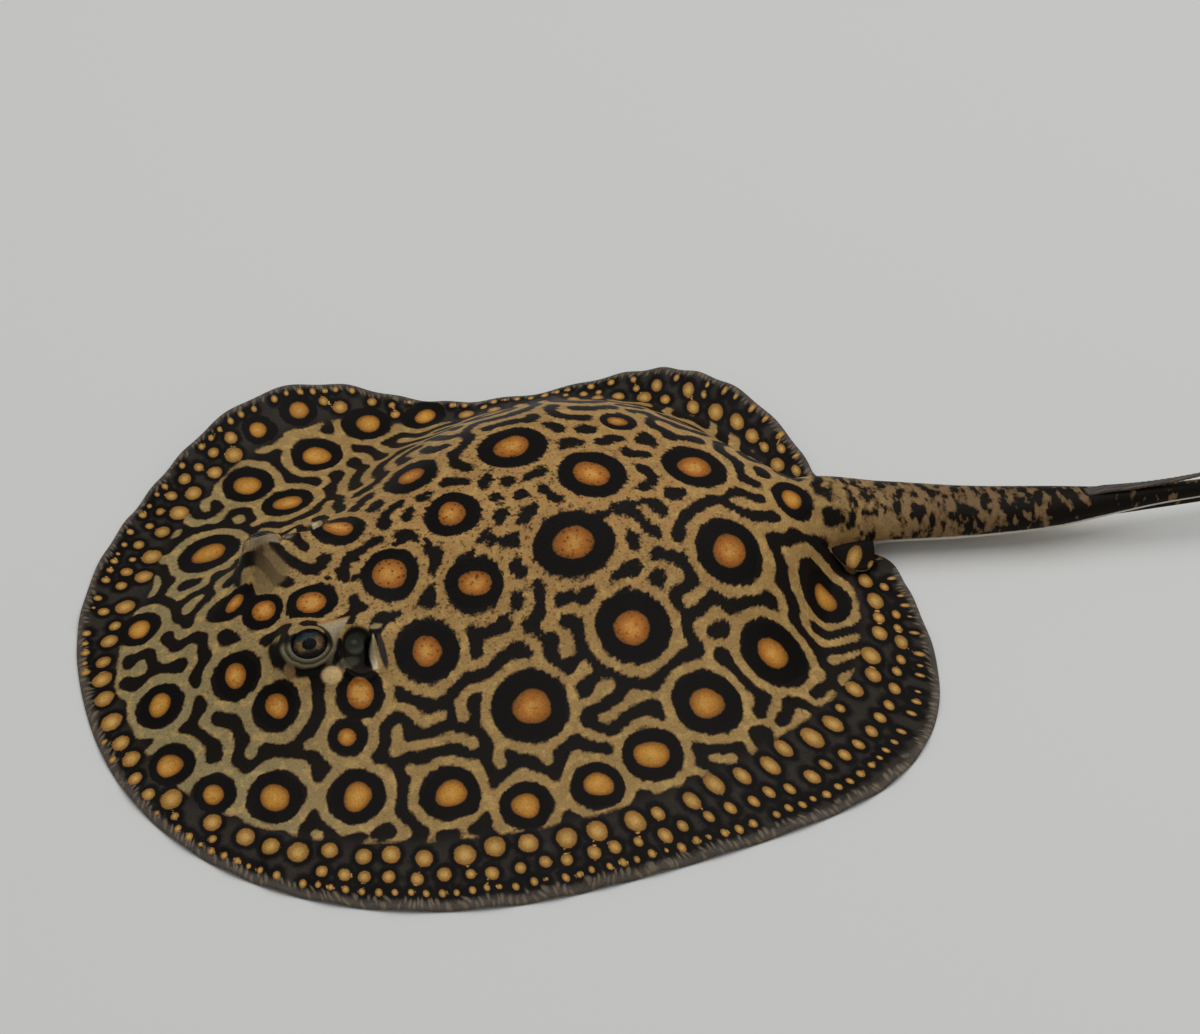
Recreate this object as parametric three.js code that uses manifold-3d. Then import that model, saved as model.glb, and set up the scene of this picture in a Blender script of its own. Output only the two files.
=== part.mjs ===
// Freshwater stingray: a still, life-size model that lies on the floor with its disc spread.
// Millimetres, +Z up. The snout points along -X, the tail along +X, and the ray's left side is -Y.
// The origin is on the floor, under the middle of the disc.
// The body is one smooth shape, parted into head, trunk, fins and tail by thin cuts.
import * as THREE from 'three';
import { mergeVertices } from 'three/addons/utils/BufferGeometryUtils.js';
import ManifoldModule from 'manifold-3d';

const manifold = await ManifoldModule();
manifold.setup();

// Driving dimensions
const DISC_CENTRE = -4.9;        // x of the disc outline's own centre
const DISC_HALF_LENGTH = 115.2;
const DISC_HALF_WIDTH = 104.0;
const SNOUT_FULLNESS = 2.2;      // superellipse exponents of the outline, front and rear
const REAR_FULLNESS = 3.55;
const FIN_EDGE = 1.3;            // thickness of the disc at its margin
const HALF_GAP = 0.15;           // half of every cut between two pieces
const NECK = 0.4;                // where the head is parted from the trunk, along the margin
const ROOT = 0.5;                // where a fin leaves the body, between midline and margin
const HEAD_ROWS = 24;
const TRUNK_ROWS = 30;
const HEAD_COLUMNS = 12;         // each side of the midline
const TRUNK_COLUMNS = 9;
const FIN_COLUMNS = 7;
const START_ROW = 4;             // the pectoral fin begins at the margin in this row, beside the snout,
const FULL_ROW = 7;              // and from this row on its root is the body's side
const NECK_GAP = 0.0012;         // half of the cut between head and trunk, along the margin
const TAIL_START = 88;           // x where the tail leaves the trunk
const TAIL_JOINTS = [140, 190];  // x where the tail is divided
const TAIL_END = 288;
const SIDES = [-1, 1];            // left and right, as signs of y
const HEAD_TURN = 3.5;           // the head turns a little left: its right side lies further forward
const EYE = { x: -60.3, y: 19.3, z: 22.4, radius: 6.3, clearance: 0.3 };
const SPIRACLE = { x: -46.3, y: 25.6, z: 21.0, radii: [5.6, 5.6, 7.4], lean: 0.75 };
const STING = { from: 167, to: 211, width: 3.2, thickness: 1.5, rise: 4.2, sag: 1.2 };
const TAIL_FOLD = {
  thickness: 0.8,
  upper: { from: 213, to: 280, height: 2.2 },
  lower: { from: 172, to: 276, height: 2.6 },
};
const PELVIC = {
  rootX: 92, rootY: 12.4, rootLength: 11, rootThickness: 1.6, edgeThickness: 0.9,
  handles: [[92, 19.4], [104, 23]],       // of the curve that its edge follows
  height: 7.6, droop: 4.4, droopOver: 9,  // the flap's middle sinks by droop over this distance
  rows: 14, columns: 5,
};

// Smooth curves through [place, value] knots
const MIDLINE_HEIGHT = [[-120.1, 1.4], [-110, 4], [-98, 8.5], [-80, 16], [-66, 21.5], [-52, 24.5],
  [-34, 28], [-10, 33], [15, 35], [40, 33.2], [62, 28.2], [80, 22.4], [95, 18.6], [108, 16.6]];
const HUMP_WIDTH = {
  left: [[-120, 30], [-80, 40], [-30, 47], [10, 52], [40, 50], [62, 41], [78, 27], [88, 15], [96, 11],
    [108, 9.5]],
  right: [[-120, 30], [-80, 40], [-40, 50], [-10, 62], [15, 67], [40, 66], [62, 55], [78, 36], [88, 17],
    [96, 11], [108, 9.5]],
};
const HUMP_SQUARENESS = {
  left: [[-120, 2], [60, 2], [88, 3], [108, 3]],
  right: [[-120, 2], [-60, 2], [-35, 2.6], [-5, 4.3], [50, 4.3], [75, 3], [108, 3]],
};
// The right fin is drawn in beside the hump, and its margin lifts in two waves
const RIGHT_DRAW = [[-121, 0.96], [-104, 0.975], [-90, 0.995], [-72, 1.02], [-54, 1.03], [-38, 1.025],
  [-22, 0.985], [-8, 0.9], [8, 0.825], [30, 0.795], [60, 0.83], [112, 0.85]];
const RIGHT_LIFT = [[-121, 0], [-92, 0.3], [-76, 4], [-60, 8], [-46, 8.5], [-22, 4.8], [-8, 3.4], [20, 4],
  [60, 4.5], [85, 6.5], [100, 5.5], [112, 1.2]];
// Where each row across the body starts on the midline, and where it crosses the fin's root
const ROW_START = [[0, -88], [0.12, -82], [0.25, -66], [0.36, -44], [0.5, 0], [0.62, 38], [0.74, 62],
  [0.85, 76], [0.93, 83], [1, 88]];
const ROOT_X = [[0, -104], [0.1, -97], [0.2, -82], [0.3, -62], [0.4, -37], [0.5, -8], [0.6, 23], [0.7, 48],
  [0.8, 67], [0.87, 77], [0.93, 83.5], [1, 88]];
const ROOT_Y = [[0, 0], [0.1, 18], [0.2, 33], [0.3, 43], [0.4, 49], [0.5, 52], [0.6, 51], [0.7, 45],
  [0.8, 33], [0.87, 24], [0.93, 17.5], [1, 12.5]];
// The tail's centre line and half sizes along x
const TAIL_Y = [[84, 0], [95, -0.1], [108, -2.6], [135, -10.6], [165, -18.8], [190, -23.6], [212, -26.4],
  [240, -27], [265, -24.5], [288, -19]];
const TAIL_Z = [[84, 10.4], [95, 9.6], [108, 9], [135, 8.7], [165, 10.4], [190, 12.2], [212, 12.5],
  [240, 9.5], [265, 5], [288, 0.6]];
const TAIL_HALF_WIDTH = [[84, 12], [95, 10.9], [108, 10.4], [135, 8.5], [160, 6.5], [172, 4.6], [184, 3.3],
  [212, 2.4], [250, 1.6], [288, 0.7]];
const TAIL_HALF_HEIGHT = [[84, 10.4], [95, 9.2], [108, 7.8], [135, 6.5], [160, 5.2], [172, 4.3], [184, 3.3],
  [212, 2.3], [250, 1.5], [288, 0.7]];

const COLOURS = {
  skin: '#9c7c4e', fin: '#54452f', tail: '#6a553a', dark: '#211d1a', sting: '#4a4038', eye: '#2b2a2a',
};

// Height of a smooth curve through the knots, at one place: a cubic between each two knots
function through(knots, place) {
  const x = Math.min(Math.max(place, knots[0][0]), knots[knots.length - 1][0]);
  let i = 0;
  while (i < knots.length - 2 && x > knots[i + 1][0]) i += 1;
  const step = (k) => knots[k + 1][0] - knots[k][0];
  const rise = (k) => (knots[k + 1][1] - knots[k][1]) / step(k);
  const slope = (k) => {
    if (k === 0) return rise(0);
    if (k === knots.length - 1) return rise(k - 1);
    return (rise(k) * step(k - 1) + rise(k - 1) * step(k)) / (step(k - 1) + step(k));
  };
  const q = (x - knots[i][0]) / step(i);
  return (2 * q ** 3 - 3 * q ** 2 + 1) * knots[i][1] + (q ** 3 - 2 * q ** 2 + q) * step(i) * slope(i)
    + (3 * q ** 2 - 2 * q ** 3) * knots[i + 1][1] + (q ** 3 - q ** 2) * step(i) * slope(i + 1);
}

const smooth = (from, to, x) => THREE.MathUtils.smoothstep(x, from, to);
const sideName = (side) => (side < 0 ? 'left' : 'right');
const turnedBy = (side) => (side < 0 ? 0 : -HEAD_TURN);

// The spread disc's outline from snout to fin root, as points a short way apart: a superellipse that is
// fuller behind, then a round corner where the rear margin turns in under the tail
function makeOutline() {
  const points = [];
  const lastAngle = Math.PI - 0.062;
  for (let i = 0; i <= 300; i += 1) {
    const angle = (lastAngle * i) / 300;
    const along = -Math.cos(angle);
    const exponent = 2 / (SNOUT_FULLNESS + (REAR_FULLNESS - SNOUT_FULLNESS) * smooth(-0.2, 0.6, along));
    points.push(new THREE.Vector2(
      DISC_CENTRE + DISC_HALF_LENGTH * Math.sign(along) * Math.abs(along) ** exponent,
      DISC_HALF_WIDTH * Math.sin(angle) ** exponent,
    ));
  }
  const corner = new THREE.CubicBezierCurve(
    points[points.length - 1].clone(),
    new THREE.Vector2(110, 7),
    new THREE.Vector2(100, 7.5),
    new THREE.Vector2(TAIL_START, 12.5),
  );
  for (let i = 1; i <= 60; i += 1) points.push(corner.getPoint(i / 60));
  const lengths = [0];
  points.slice(1).forEach((point, i) => lengths.push(lengths[i] + point.distanceTo(points[i])));
  return { points, lengths };
}
const outline = makeOutline();

// A point of the margin: s runs from the snout, 0, to the fin's rear root, 1
function margin(s, side) {
  const length = s * outline.lengths[outline.lengths.length - 1];
  let i = 0;
  while (i < outline.lengths.length - 2 && outline.lengths[i + 1] < length) i += 1;
  const part = (length - outline.lengths[i]) / (outline.lengths[i + 1] - outline.lengths[i]);
  const point = outline.points[i].clone().lerp(outline.points[i + 1], part);
  if (side < 0) return new THREE.Vector3(point.x, -point.y, 0);
  const out = 1 - smooth(0.93, 1, s);
  const drawn = 1 - (1 - through(RIGHT_DRAW, point.x)) * smooth(8, 40, point.y) * out;
  const lift = Math.max(0, through(RIGHT_LIFT, point.x)) * smooth(10, 45, point.y) * out;
  const pulled = 8.5 * smooth(40, 112, point.x) * smooth(8, 30, point.y) * out;
  return new THREE.Vector3(point.x - pulled, point.y * drawn, lift);
}

// Plan of the disc: t runs from the midline, 0, over the fin's root, 0.5, to the margin, 1
function plan(s, t, side) {
  const edge = margin(s, side);
  const root = new THREE.Vector2(through(ROOT_X, s), side * through(ROOT_Y, s));
  const start = new THREE.Vector2(through(ROW_START, s), 0);
  if (t <= ROOT) return start.lerp(root, t / ROOT);
  return root.lerp(new THREE.Vector2(edge.x, edge.y), (t - ROOT) / (1 - ROOT));
}

// Low round swellings of the skin over each eye and behind it
function browHeight(x, y) {
  const swelling = (side, centreX, centreY, lengthwise, across, height) => {
    const along = (x - centreX - turnedBy(side)) / lengthwise;
    return height * Math.exp(-(along ** 2) - ((y - side * centreY) / across) ** 2);
  };
  return SIDES.reduce((sum, side) => sum + swelling(side, -60, 18, 9.5, 7.5, 5.5)
    + swelling(side, -46, 19, 9, 9, 4.2), 0);
}

// Height of the back: a rounded hump on the midline that falls away to the thin fins, and ends at the tail
function topPoint(s, t, side) {
  const at = plan(s, t, side);
  const name = sideName(side);
  const fade = 1 - smooth(TAIL_START - 1, TAIL_START + 6, at.x);
  const height = (through(MIDLINE_HEIGHT, at.x) - FIN_EDGE) * fade;
  const across = Math.abs(at.y) / through(HUMP_WIDTH[name], at.x);
  const hump = height * Math.exp(-(across ** through(HUMP_SQUARENESS[name], at.x))) * (1 - t ** 8);
  const z = FIN_EDGE + hump + browHeight(at.x, at.y) + bottomPoint(s, t, side).z;
  return new THREE.Vector3(at.x, at.y, z);
}

// The underside is flat on the floor, except where the fin's margin lifts
function bottomPoint(s, t, side) {
  const at = plan(s, t, side);
  const out = Math.max(0, 2 * t - 1);
  return new THREE.Vector3(at.x, at.y, margin(s, side).z * out ** 2);
}

// Moves along the row by a distance, so that a cut keeps its width
function nudged(s, t, side, distance) {
  const step = 0.01;
  const inward = plan(s, t - step, side).distanceTo(plan(s, t, side));
  return t + (step * distance) / inward;
}

// How far out the head and trunk reach on a row: to the margin at the snout, else to the fin's root
const bodyReach = (s) => {
  const row = (s * HEAD_ROWS) / NECK;
  return 1 - (1 - ROOT) * THREE.MathUtils.clamp((row - START_ROW) / (FULL_ROW - START_ROW), 0, 1);
};

// A closed mesh from triangles given as lists of three points
function meshFromTriangles(triangles) {
  const positions = [];
  for (const triangle of triangles) for (const p of triangle) positions.push(p.x, p.y, p.z);
  const geometry = new THREE.BufferGeometry();
  geometry.setAttribute('position', new THREE.Float32BufferAttribute(positions, 3));
  return withoutSlivers(mergeVertices(geometry, 1e-4));
}

// Drops triangles whose corners have merged
function withoutSlivers(geometry) {
  const kept = [];
  const index = geometry.index.array;
  for (let i = 0; i < index.length; i += 3) {
    const [a, b, c] = [index[i], index[i + 1], index[i + 2]];
    if (a !== b && b !== c && c !== a) kept.push(a, b, c);
  }
  geometry.setIndex(kept);
  return geometry;
}

// Triangles of a grid of points, facing the side from which rows and columns turn anticlockwise
function gridTriangles(grid, flip = false) {
  const triangles = [];
  for (let i = 0; i + 1 < grid.length; i += 1) {
    for (let j = 0; j + 1 < grid[i].length; j += 1) {
      const [a, b, c, d] = [grid[i][j], grid[i + 1][j], grid[i + 1][j + 1], grid[i][j + 1]];
      triangles.push(flip ? [a, c, b] : [a, b, c], flip ? [a, d, c] : [a, c, d]);
    }
  }
  return triangles;
}

const range = (from, to, steps) => (
  Array.from({ length: steps + 1 }, (_, i) => from + ((to - from) * i) / steps)
);
const column = (grid, j) => grid.map((row) => row[j]);

// A thin closed piece between a top and a bottom grid of the same size
function slab(top, bottom, flip) {
  const [lastRow, lastColumn] = [top.length - 1, top[0].length - 1];
  return meshFromTriangles([
    ...gridTriangles(top, flip),
    ...gridTriangles(bottom, !flip),
    ...gridTriangles([column(top, 0), column(bottom, 0)], flip),
    ...gridTriangles([column(top, lastColumn), column(bottom, lastColumn)], !flip),
    ...gridTriangles([top[0], bottom[0]], !flip),
    ...gridTriangles([top[lastRow], bottom[lastRow]], flip),
  ]);
}

// Head or trunk: the rows between two places, over both sides, on one flat base
function bodyPiece(sFrom, sTo, rows, columns) {
  const grid = range(sFrom, sTo, rows).map((s) => range(-1, 1, 2 * columns).map((across) => {
    const side = across < 0 ? -1 : 1;
    const reach = bodyReach(s);
    const limit = reach < 1 ? nudged(s, reach, side, -HALF_GAP) : 1;
    return topPoint(s, Math.abs(across) * limit, side);
  }));
  const onFloor = (p) => new THREE.Vector3(p.x, p.y, 0);
  const base = grid.map((row) => [row[0], row[columns], row[2 * columns]].map(onFloor));
  const triangles = [
    ...gridTriangles(grid),
    ...gridTriangles(base, true),
    ...gridTriangles([column(grid, 0), column(base, 0)]),
    ...gridTriangles([column(grid, 2 * columns), column(base, 2)], true),
    ...endWall(grid[rows], base[rows], false),
  ];
  if (sFrom > 0) triangles.push(...endWall(grid[0], base[0], true));
  return meshFromTriangles(triangles);
}

// The upright face at the end of a body piece: a fan over each side, from its outer lower corner
function endWall(upper, lower, flip) {
  const middle = (upper.length - 1) / 2;
  const triangles = [[lower[0], lower[1], upper[middle]], [upper[middle], lower[1], lower[2]]];
  for (let j = 0; j < 2 * middle; j += 1) {
    triangles.push([upper[j], lower[j < middle ? 0 : 2], upper[j + 1]]);
  }
  return flip ? triangles.map(([p, q, r]) => [p, r, q]) : triangles;
}

// A pectoral fin: the thin crescent from its root out to the margin, in rows that meet those of the body
function pectoralFin(side) {
  const start = (START_ROW * NECK) / HEAD_ROWS;
  const besideHead = range(start, NECK, HEAD_ROWS - START_ROW).slice(1);
  const besideTrunk = range(NECK, 1, TRUNK_ROWS).slice(1, -1);
  const rowPlaces = [start + 0.0035, ...besideHead, ...besideTrunk, 0.985];
  const lines = rowPlaces.map((s) => {
    const inner = nudged(s, bodyReach(s), side, HALF_GAP);
    return range(inner, 1, FIN_COLUMNS).map((t) => [s, t]);
  });
  const top = lines.map((line) => line.map(([s, t]) => topPoint(s, t, side)));
  const bottom = lines.map((line) => line.map(([s, t]) => bottomPoint(s, t, side)));
  return slab(top, bottom, side < 0);
}

// A ring of the tail at x: an ellipse square to the centre line, flat where it would sink in the floor
function tailRing(x, corners) {
  const slope = (through(TAIL_Y, x + 0.5) - through(TAIL_Y, x - 0.5));
  const length = Math.hypot(1, slope);
  return range(0, 2 * Math.PI, corners).slice(0, -1).map((angle) => {
    const out = through(TAIL_HALF_WIDTH, x) * Math.cos(angle);
    const z = through(TAIL_Z, x) + through(TAIL_HALF_HEIGHT, x) * Math.sin(angle);
    return new THREE.Vector3(x - (out * slope) / length, through(TAIL_Y, x) + out / length, Math.max(z, 0));
  });
}

// A closed tube through rings of points, with a flat cap on each end
function tube(rings) {
  const closed = rings.map((ring) => [...ring, ring[0]]);
  const triangles = gridTriangles(closed, true);
  const cap = (ring, flip) => {
    const middle = ring.reduce((sum, p) => sum.add(p), new THREE.Vector3()).divideScalar(ring.length);
    ring.forEach((p, i) => {
      const next = ring[(i + 1) % ring.length];
      triangles.push(flip ? [middle, next, p] : [middle, p, next]);
    });
  };
  cap(rings[0], true);
  cap(rings[rings.length - 1], false);
  return meshFromTriangles(triangles);
}

const tailPiece = (from, to, steps, corners) => (
  tube(range(from, to, steps).map((x) => tailRing(x, corners)))
);

// A pelvic fin: a rounded flap from the tail's root, over the rear of the pectoral fin
function pelvicFin(side) {
  const edge = new THREE.CubicBezierCurve(
    new THREE.Vector2(PELVIC.rootX, PELVIC.rootY + 1),
    ...PELVIC.handles.map((handle) => new THREE.Vector2(...handle)),
    new THREE.Vector2(PELVIC.rootX + PELVIC.rootLength + 1.5, PELVIC.rootY + 0.8),
  );
  const followTail = side < 0 ? -2 : 0;
  const grid = (face) => range(0, 1, PELVIC.rows).map((s) => {
    const tip = edge.getPoint(s);
    const root = new THREE.Vector2(PELVIC.rootX + PELVIC.rootLength * s, PELVIC.rootY);
    return range(0, 1, PELVIC.columns).map((t) => {
      const at = root.clone().lerp(tip, t);
      const thickness = THREE.MathUtils.lerp(PELVIC.rootThickness, PELVIC.edgeThickness, t);
      const middle = PELVIC.height - PELVIC.droop * Math.min(1, (at.y - root.y) / PELVIC.droopOver);
      const y = side * at.y + followTail * smooth(TAIL_START, TAIL_START + 20, at.x);
      return new THREE.Vector3(at.x, y, middle + face * 0.5 * thickness);
    });
  });
  return slab(grid(1), grid(-1), side < 0);
}

// A low keel of skin along the top or the underside of the thin tail
function tailFold({ from, to, height }, up) {
  const sign = up ? 1 : -1;
  const lowest = 0.5;
  const rings = range(from, to, 16).map((x) => {
    const part = (x - from) / (to - from);
    const tall = lowest + (height - lowest) * Math.sin(Math.PI * part ** 0.6) ** 0.7;
    const root = through(TAIL_Z, x) + sign * (through(TAIL_HALF_HEIGHT, x) + 2 * HALF_GAP);
    const y = through(TAIL_Y, x);
    const corners = [[-0.5, 0], [0.5, 0], [0.5, 1], [-0.5, 1]].map(([across, out]) => new THREE.Vector3(
      x, y + across * TAIL_FOLD.thickness, Math.max(root + sign * out * tall, 0.1 + 0.3 * (1 - out)),
    ));
    return up ? corners : corners.reverse();
  });
  return tube(rings);
}

// The sting: a flat spine that grows from the top of the tail, with a blunt keel and a sharp tip
function sting() {
  const section = [[-0.5, 0.35], [-0.25, 0], [0.25, 0], [0.5, 0.35], [0.2, 1], [-0.2, 1]];
  const seat = (x) => through(TAIL_Z, x) + through(TAIL_HALF_HEIGHT, x) + 2 * HALF_GAP;
  const rings = range(STING.from, STING.to, 14).map((x) => {
    const part = (x - STING.from) / (STING.to - STING.from);
    const width = STING.width * (part < 0.12 ? 0.75 + 2 * part : (1 - part) ** 0.6 + 0.12);
    const thick = STING.thickness * (0.3 + 0.7 * (1 - part) ** 0.5);
    const free = seat(STING.from) + STING.rise * part - STING.sag * Math.sin(Math.PI * part);
    const z = Math.max(seat(x), free);
    const y = through(TAIL_Y, x);
    return section.map(([across, up]) => new THREE.Vector3(x, y + across * width, z + up * thick));
  });
  return tube(rings);
}

const toManifold = (geometry) => {
  const merged = geometry.clone();
  merged.deleteAttribute('normal');
  merged.deleteAttribute('uv');
  const closed = mergeVertices(merged, 1e-4);
  return new manifold.Manifold(new manifold.Mesh({
    numProp: 3,
    vertProperties: new Float32Array(closed.attributes.position.array),
    triVerts: new Uint32Array(closed.index.array),
  }));
};

const fromManifold = (solid) => {
  const mesh = solid.getMesh();
  const geometry = new THREE.BufferGeometry();
  geometry.setAttribute('position', new THREE.BufferAttribute(Float32Array.from(mesh.vertProperties), 3));
  geometry.setIndex(new THREE.BufferAttribute(Uint32Array.from(mesh.triVerts), 1));
  return geometry;
};

const ball = (radii) => new THREE.SphereGeometry(1, 16, 10).rotateX(Math.PI / 2).scale(...radii);

// The head, with a socket for each eye and the mouth of each spiracle hollowed out
function head() {
  let solid = toManifold(bodyPiece(0, NECK - NECK_GAP, HEAD_ROWS, HEAD_COLUMNS));
  for (const side of SIDES) {
    const socket = eyeball(side, EYE.radius + EYE.clearance);
    const hollow = ball(SPIRACLE.radii).rotateX(side * -SPIRACLE.lean)
      .translate(SPIRACLE.x + turnedBy(side), side * SPIRACLE.y, SPIRACLE.z);
    solid = solid.subtract(toManifold(socket)).subtract(toManifold(hollow));
  }
  return fromManifold(solid);
}

const eyeball = (side, radius) => (
  ball([radius, radius, radius]).translate(EYE.x + turnedBy(side), side * EYE.y, EYE.z)
);

const ray = new THREE.Group();
function add(name, geometry, colour, roughness = 0.45) {
  const material = new THREE.MeshStandardMaterial({ color: colour, roughness, metalness: 0 });
  const mesh = new THREE.Mesh(geometry, material);
  mesh.name = name;
  ray.add(mesh);
}

add('head', head(), COLOURS.skin);
add('trunk', bodyPiece(NECK + NECK_GAP, 1, TRUNK_ROWS, TRUNK_COLUMNS), COLOURS.skin);
for (const side of SIDES) {
  const name = sideName(side);
  add(`pectoral_fin_${name}`, pectoralFin(side), COLOURS.fin);
  add(`pelvic_fin_${name}`, pelvicFin(side), COLOURS.fin);
  add(`eye_${name}`, eyeball(side, EYE.radius), COLOURS.eye, 0.15);
}
const [middleAt, tipAt] = TAIL_JOINTS;
add('tail_base', tailPiece(TAIL_START + 2 * HALF_GAP, middleAt - HALF_GAP, 10, 16), COLOURS.tail);
add('tail_middle', tailPiece(middleAt + HALF_GAP, tipAt - HALF_GAP, 10, 16), COLOURS.dark);
add('tail_tip', tailPiece(tipAt + HALF_GAP, TAIL_END, 18, 12), COLOURS.dark);
add('tail_fold_upper', tailFold(TAIL_FOLD.upper, true), COLOURS.dark);
add('tail_fold_lower', tailFold(TAIL_FOLD.lower, false), COLOURS.dark);
add('tail_sting', sting(), COLOURS.sting, 0.35);

export default ray;
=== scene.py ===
import math

import bmesh
import bpy
import numpy as np
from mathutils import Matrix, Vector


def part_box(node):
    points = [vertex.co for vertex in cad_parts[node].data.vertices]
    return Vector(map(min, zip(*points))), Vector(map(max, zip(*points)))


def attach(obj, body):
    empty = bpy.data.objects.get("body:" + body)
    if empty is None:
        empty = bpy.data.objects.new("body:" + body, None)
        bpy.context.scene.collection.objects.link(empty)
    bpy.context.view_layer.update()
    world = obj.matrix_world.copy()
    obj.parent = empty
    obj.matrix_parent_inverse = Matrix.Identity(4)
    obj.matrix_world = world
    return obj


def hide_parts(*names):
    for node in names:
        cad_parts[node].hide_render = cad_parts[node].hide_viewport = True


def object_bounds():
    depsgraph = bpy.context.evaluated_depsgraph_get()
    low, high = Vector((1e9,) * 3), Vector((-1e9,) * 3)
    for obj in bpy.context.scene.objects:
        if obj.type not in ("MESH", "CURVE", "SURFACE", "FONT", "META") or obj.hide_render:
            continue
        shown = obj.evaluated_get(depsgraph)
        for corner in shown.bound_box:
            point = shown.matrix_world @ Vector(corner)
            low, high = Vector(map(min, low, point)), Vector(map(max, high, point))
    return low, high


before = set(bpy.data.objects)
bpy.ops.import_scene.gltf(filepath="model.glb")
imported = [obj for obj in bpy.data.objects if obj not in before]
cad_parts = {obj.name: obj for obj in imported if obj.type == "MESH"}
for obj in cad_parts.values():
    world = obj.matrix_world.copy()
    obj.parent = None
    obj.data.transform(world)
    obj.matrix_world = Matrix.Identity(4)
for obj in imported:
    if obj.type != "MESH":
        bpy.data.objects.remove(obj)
cad_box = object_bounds()

# ------------------------------------------------------------------------------------------------
# Skin, the shape. One smooth scaleless hide covers the low hump of the body, the wide pectoral fins
# and the tail. The ray lies spread on the bottom: the right fin is drawn in against the hump, with
# its margin lifted in two waves. The lids and spiracles are folds of the same hide.
# ------------------------------------------------------------------------------------------------
DRAWN_LENGTH = 408.18  # the drawing's own length, from snout to tail tip
MM = (cad_box[1][0] - cad_box[0][0]) / DRAWN_LENGTH  # one millimetre of the drawing, in metres

DISC_CENTRE = -4.9
DISC_HALF_LENGTH = 115.2
DISC_HALF_WIDTH = 104.0
SNOUT_FULLNESS = 2.2
REAR_FULLNESS = 3.55
TAIL_START = 88.0
TAIL_END = 288.0
OUTLINE_END = 0.062  # the angle short of half a turn at which the rear corner begins
REAR_CORNER = [[110, 7], [100, 7.5], [TAIL_START, 12.5]]
FIN_THICKNESS = 1.3
LIP = 0.25           # the fins are this thick at the very margin
ROUNDING = 3.0       # the margin rounds off over this distance
RIPPLE = 0.8
RIPPLE_LENGTH = 17.0
RIGHT_PULL = 8.5     # how far the right fin's rear is pulled to the front
# The head turns a little to its left, so its right side lies further forward
SIDE_SHIFT = {-1: 0.0, 1: -3.5}
# Swellings over each eye and behind it: height, place along the body, distance from the midline, reach
# along the body, reach across
BROWS = [[5.5, -60, 18, 9.5, 7.5], [4.2, -46, 19, 9, 9]]

# Smooth curves through [place, value] knots. The body, by x: the height of its midline, and the hump's
# half width and squareness on each side.
MIDLINE_HEIGHT = [[-120.1, 1.4], [-110, 4], [-98, 8.5], [-80, 16], [-66, 21.5], [-52, 24.5], [-34, 28],
                  [-10, 33], [15, 35], [40, 33.2], [62, 28.2], [80, 22.4], [95, 18.6], [108, 16.6]]
HUMP_WIDTH = {
    -1: [[-120, 30], [-80, 40], [-30, 47], [10, 52], [40, 50], [62, 41], [78, 27], [88, 15], [96, 11],
         [108, 9.5]],
    1: [[-120, 30], [-80, 40], [-40, 50], [-10, 62], [15, 67], [40, 66], [62, 55], [78, 36], [88, 17],
        [96, 11], [108, 9.5]],
}
HUMP_SQUARENESS = {
    -1: [[-120, 2], [60, 2], [88, 3], [108, 3]],
    1: [[-120, 2], [-60, 2], [-35, 2.6], [-5, 4.3], [50, 4.3], [75, 3], [108, 3]],
}
# The right fin's margin, by x: how far out it stands as a part of a spread fin's, and how high
RIGHT_DRAW = [[-121, 0.96], [-104, 0.975], [-90, 0.995], [-72, 1.02], [-54, 1.03], [-38, 1.025],
              [-22, 0.985], [-8, 0.9], [8, 0.825], [30, 0.795], [60, 0.83], [112, 0.85]]
RIGHT_LIFT = [[-121, 0], [-92, 0.3], [-76, 4], [-60, 8], [-46, 8.5], [-22, 4.8], [-8, 3.4], [20, 4],
              [60, 4.5], [85, 6.5], [100, 5.5], [112, 1.2]]
# The grid's rows, by the part of the margin's length: where each starts on the midline, and the fin's root
ROW_START = [[0, -88], [0.12, -82], [0.25, -66], [0.36, -44], [0.5, 0], [0.62, 38], [0.74, 62],
             [0.85, 76], [0.93, 83], [1, 88]]
ROOT_X = [[0, -104], [0.1, -97], [0.2, -82], [0.3, -62], [0.4, -37], [0.5, -8], [0.6, 23], [0.7, 48],
          [0.8, 67], [0.87, 77], [0.93, 83.5], [1, 88]]
ROOT_Y = [[0, 0], [0.1, 18], [0.2, 33], [0.3, 43], [0.4, 49], [0.5, 52], [0.6, 51], [0.7, 45],
          [0.8, 33], [0.87, 24], [0.93, 17.5], [1, 12.5]]
# The tail, by x: its centre line and its half sizes
TAIL_Y = [[84, 0], [95, -0.1], [108, -2.6], [135, -10.6], [165, -18.8], [190, -23.6], [212, -26.4],
          [240, -27], [265, -24.5], [288, -19]]
TAIL_Z = [[84, 10.4], [95, 9.6], [108, 9], [135, 8.7], [165, 10.4], [190, 12.2], [212, 12.5],
          [240, 9.5], [265, 5], [288, 0.6]]
TAIL_HALF_WIDTH = [[84, 12], [95, 10.9], [108, 10.4], [135, 8.5], [160, 6.5], [172, 4.6], [184, 3.3],
                   [212, 2.4], [250, 1.6], [288, 0.7]]
TAIL_HALF_HEIGHT = [[84, 10.4], [95, 9.2], [108, 7.8], [135, 6.5], [160, 5.2], [172, 4.3], [184, 3.3],
                    [212, 2.3], [250, 1.5], [288, 0.7]]


def through(knots, x):
    """Smooth curve through the knots: between two of them, the cubic that meets both values with slopes
    equal to the knots' own finite differences."""
    place, value = np.array(knots, float).T
    slope = np.gradient(value, place)
    x = np.clip(x, place[0], place[-1])
    i = np.clip(np.searchsorted(place, x) - 1, 0, len(place) - 2)
    step = place[i + 1] - place[i]
    q = (x - place[i]) / step
    return ((2 * q**3 - 3 * q**2 + 1) * value[i] + (q**3 - 2 * q**2 + q) * step * slope[i]
            + (3 * q**2 - 2 * q**3) * value[i + 1] + (q**3 - q**2) * step * slope[i + 1])


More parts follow.
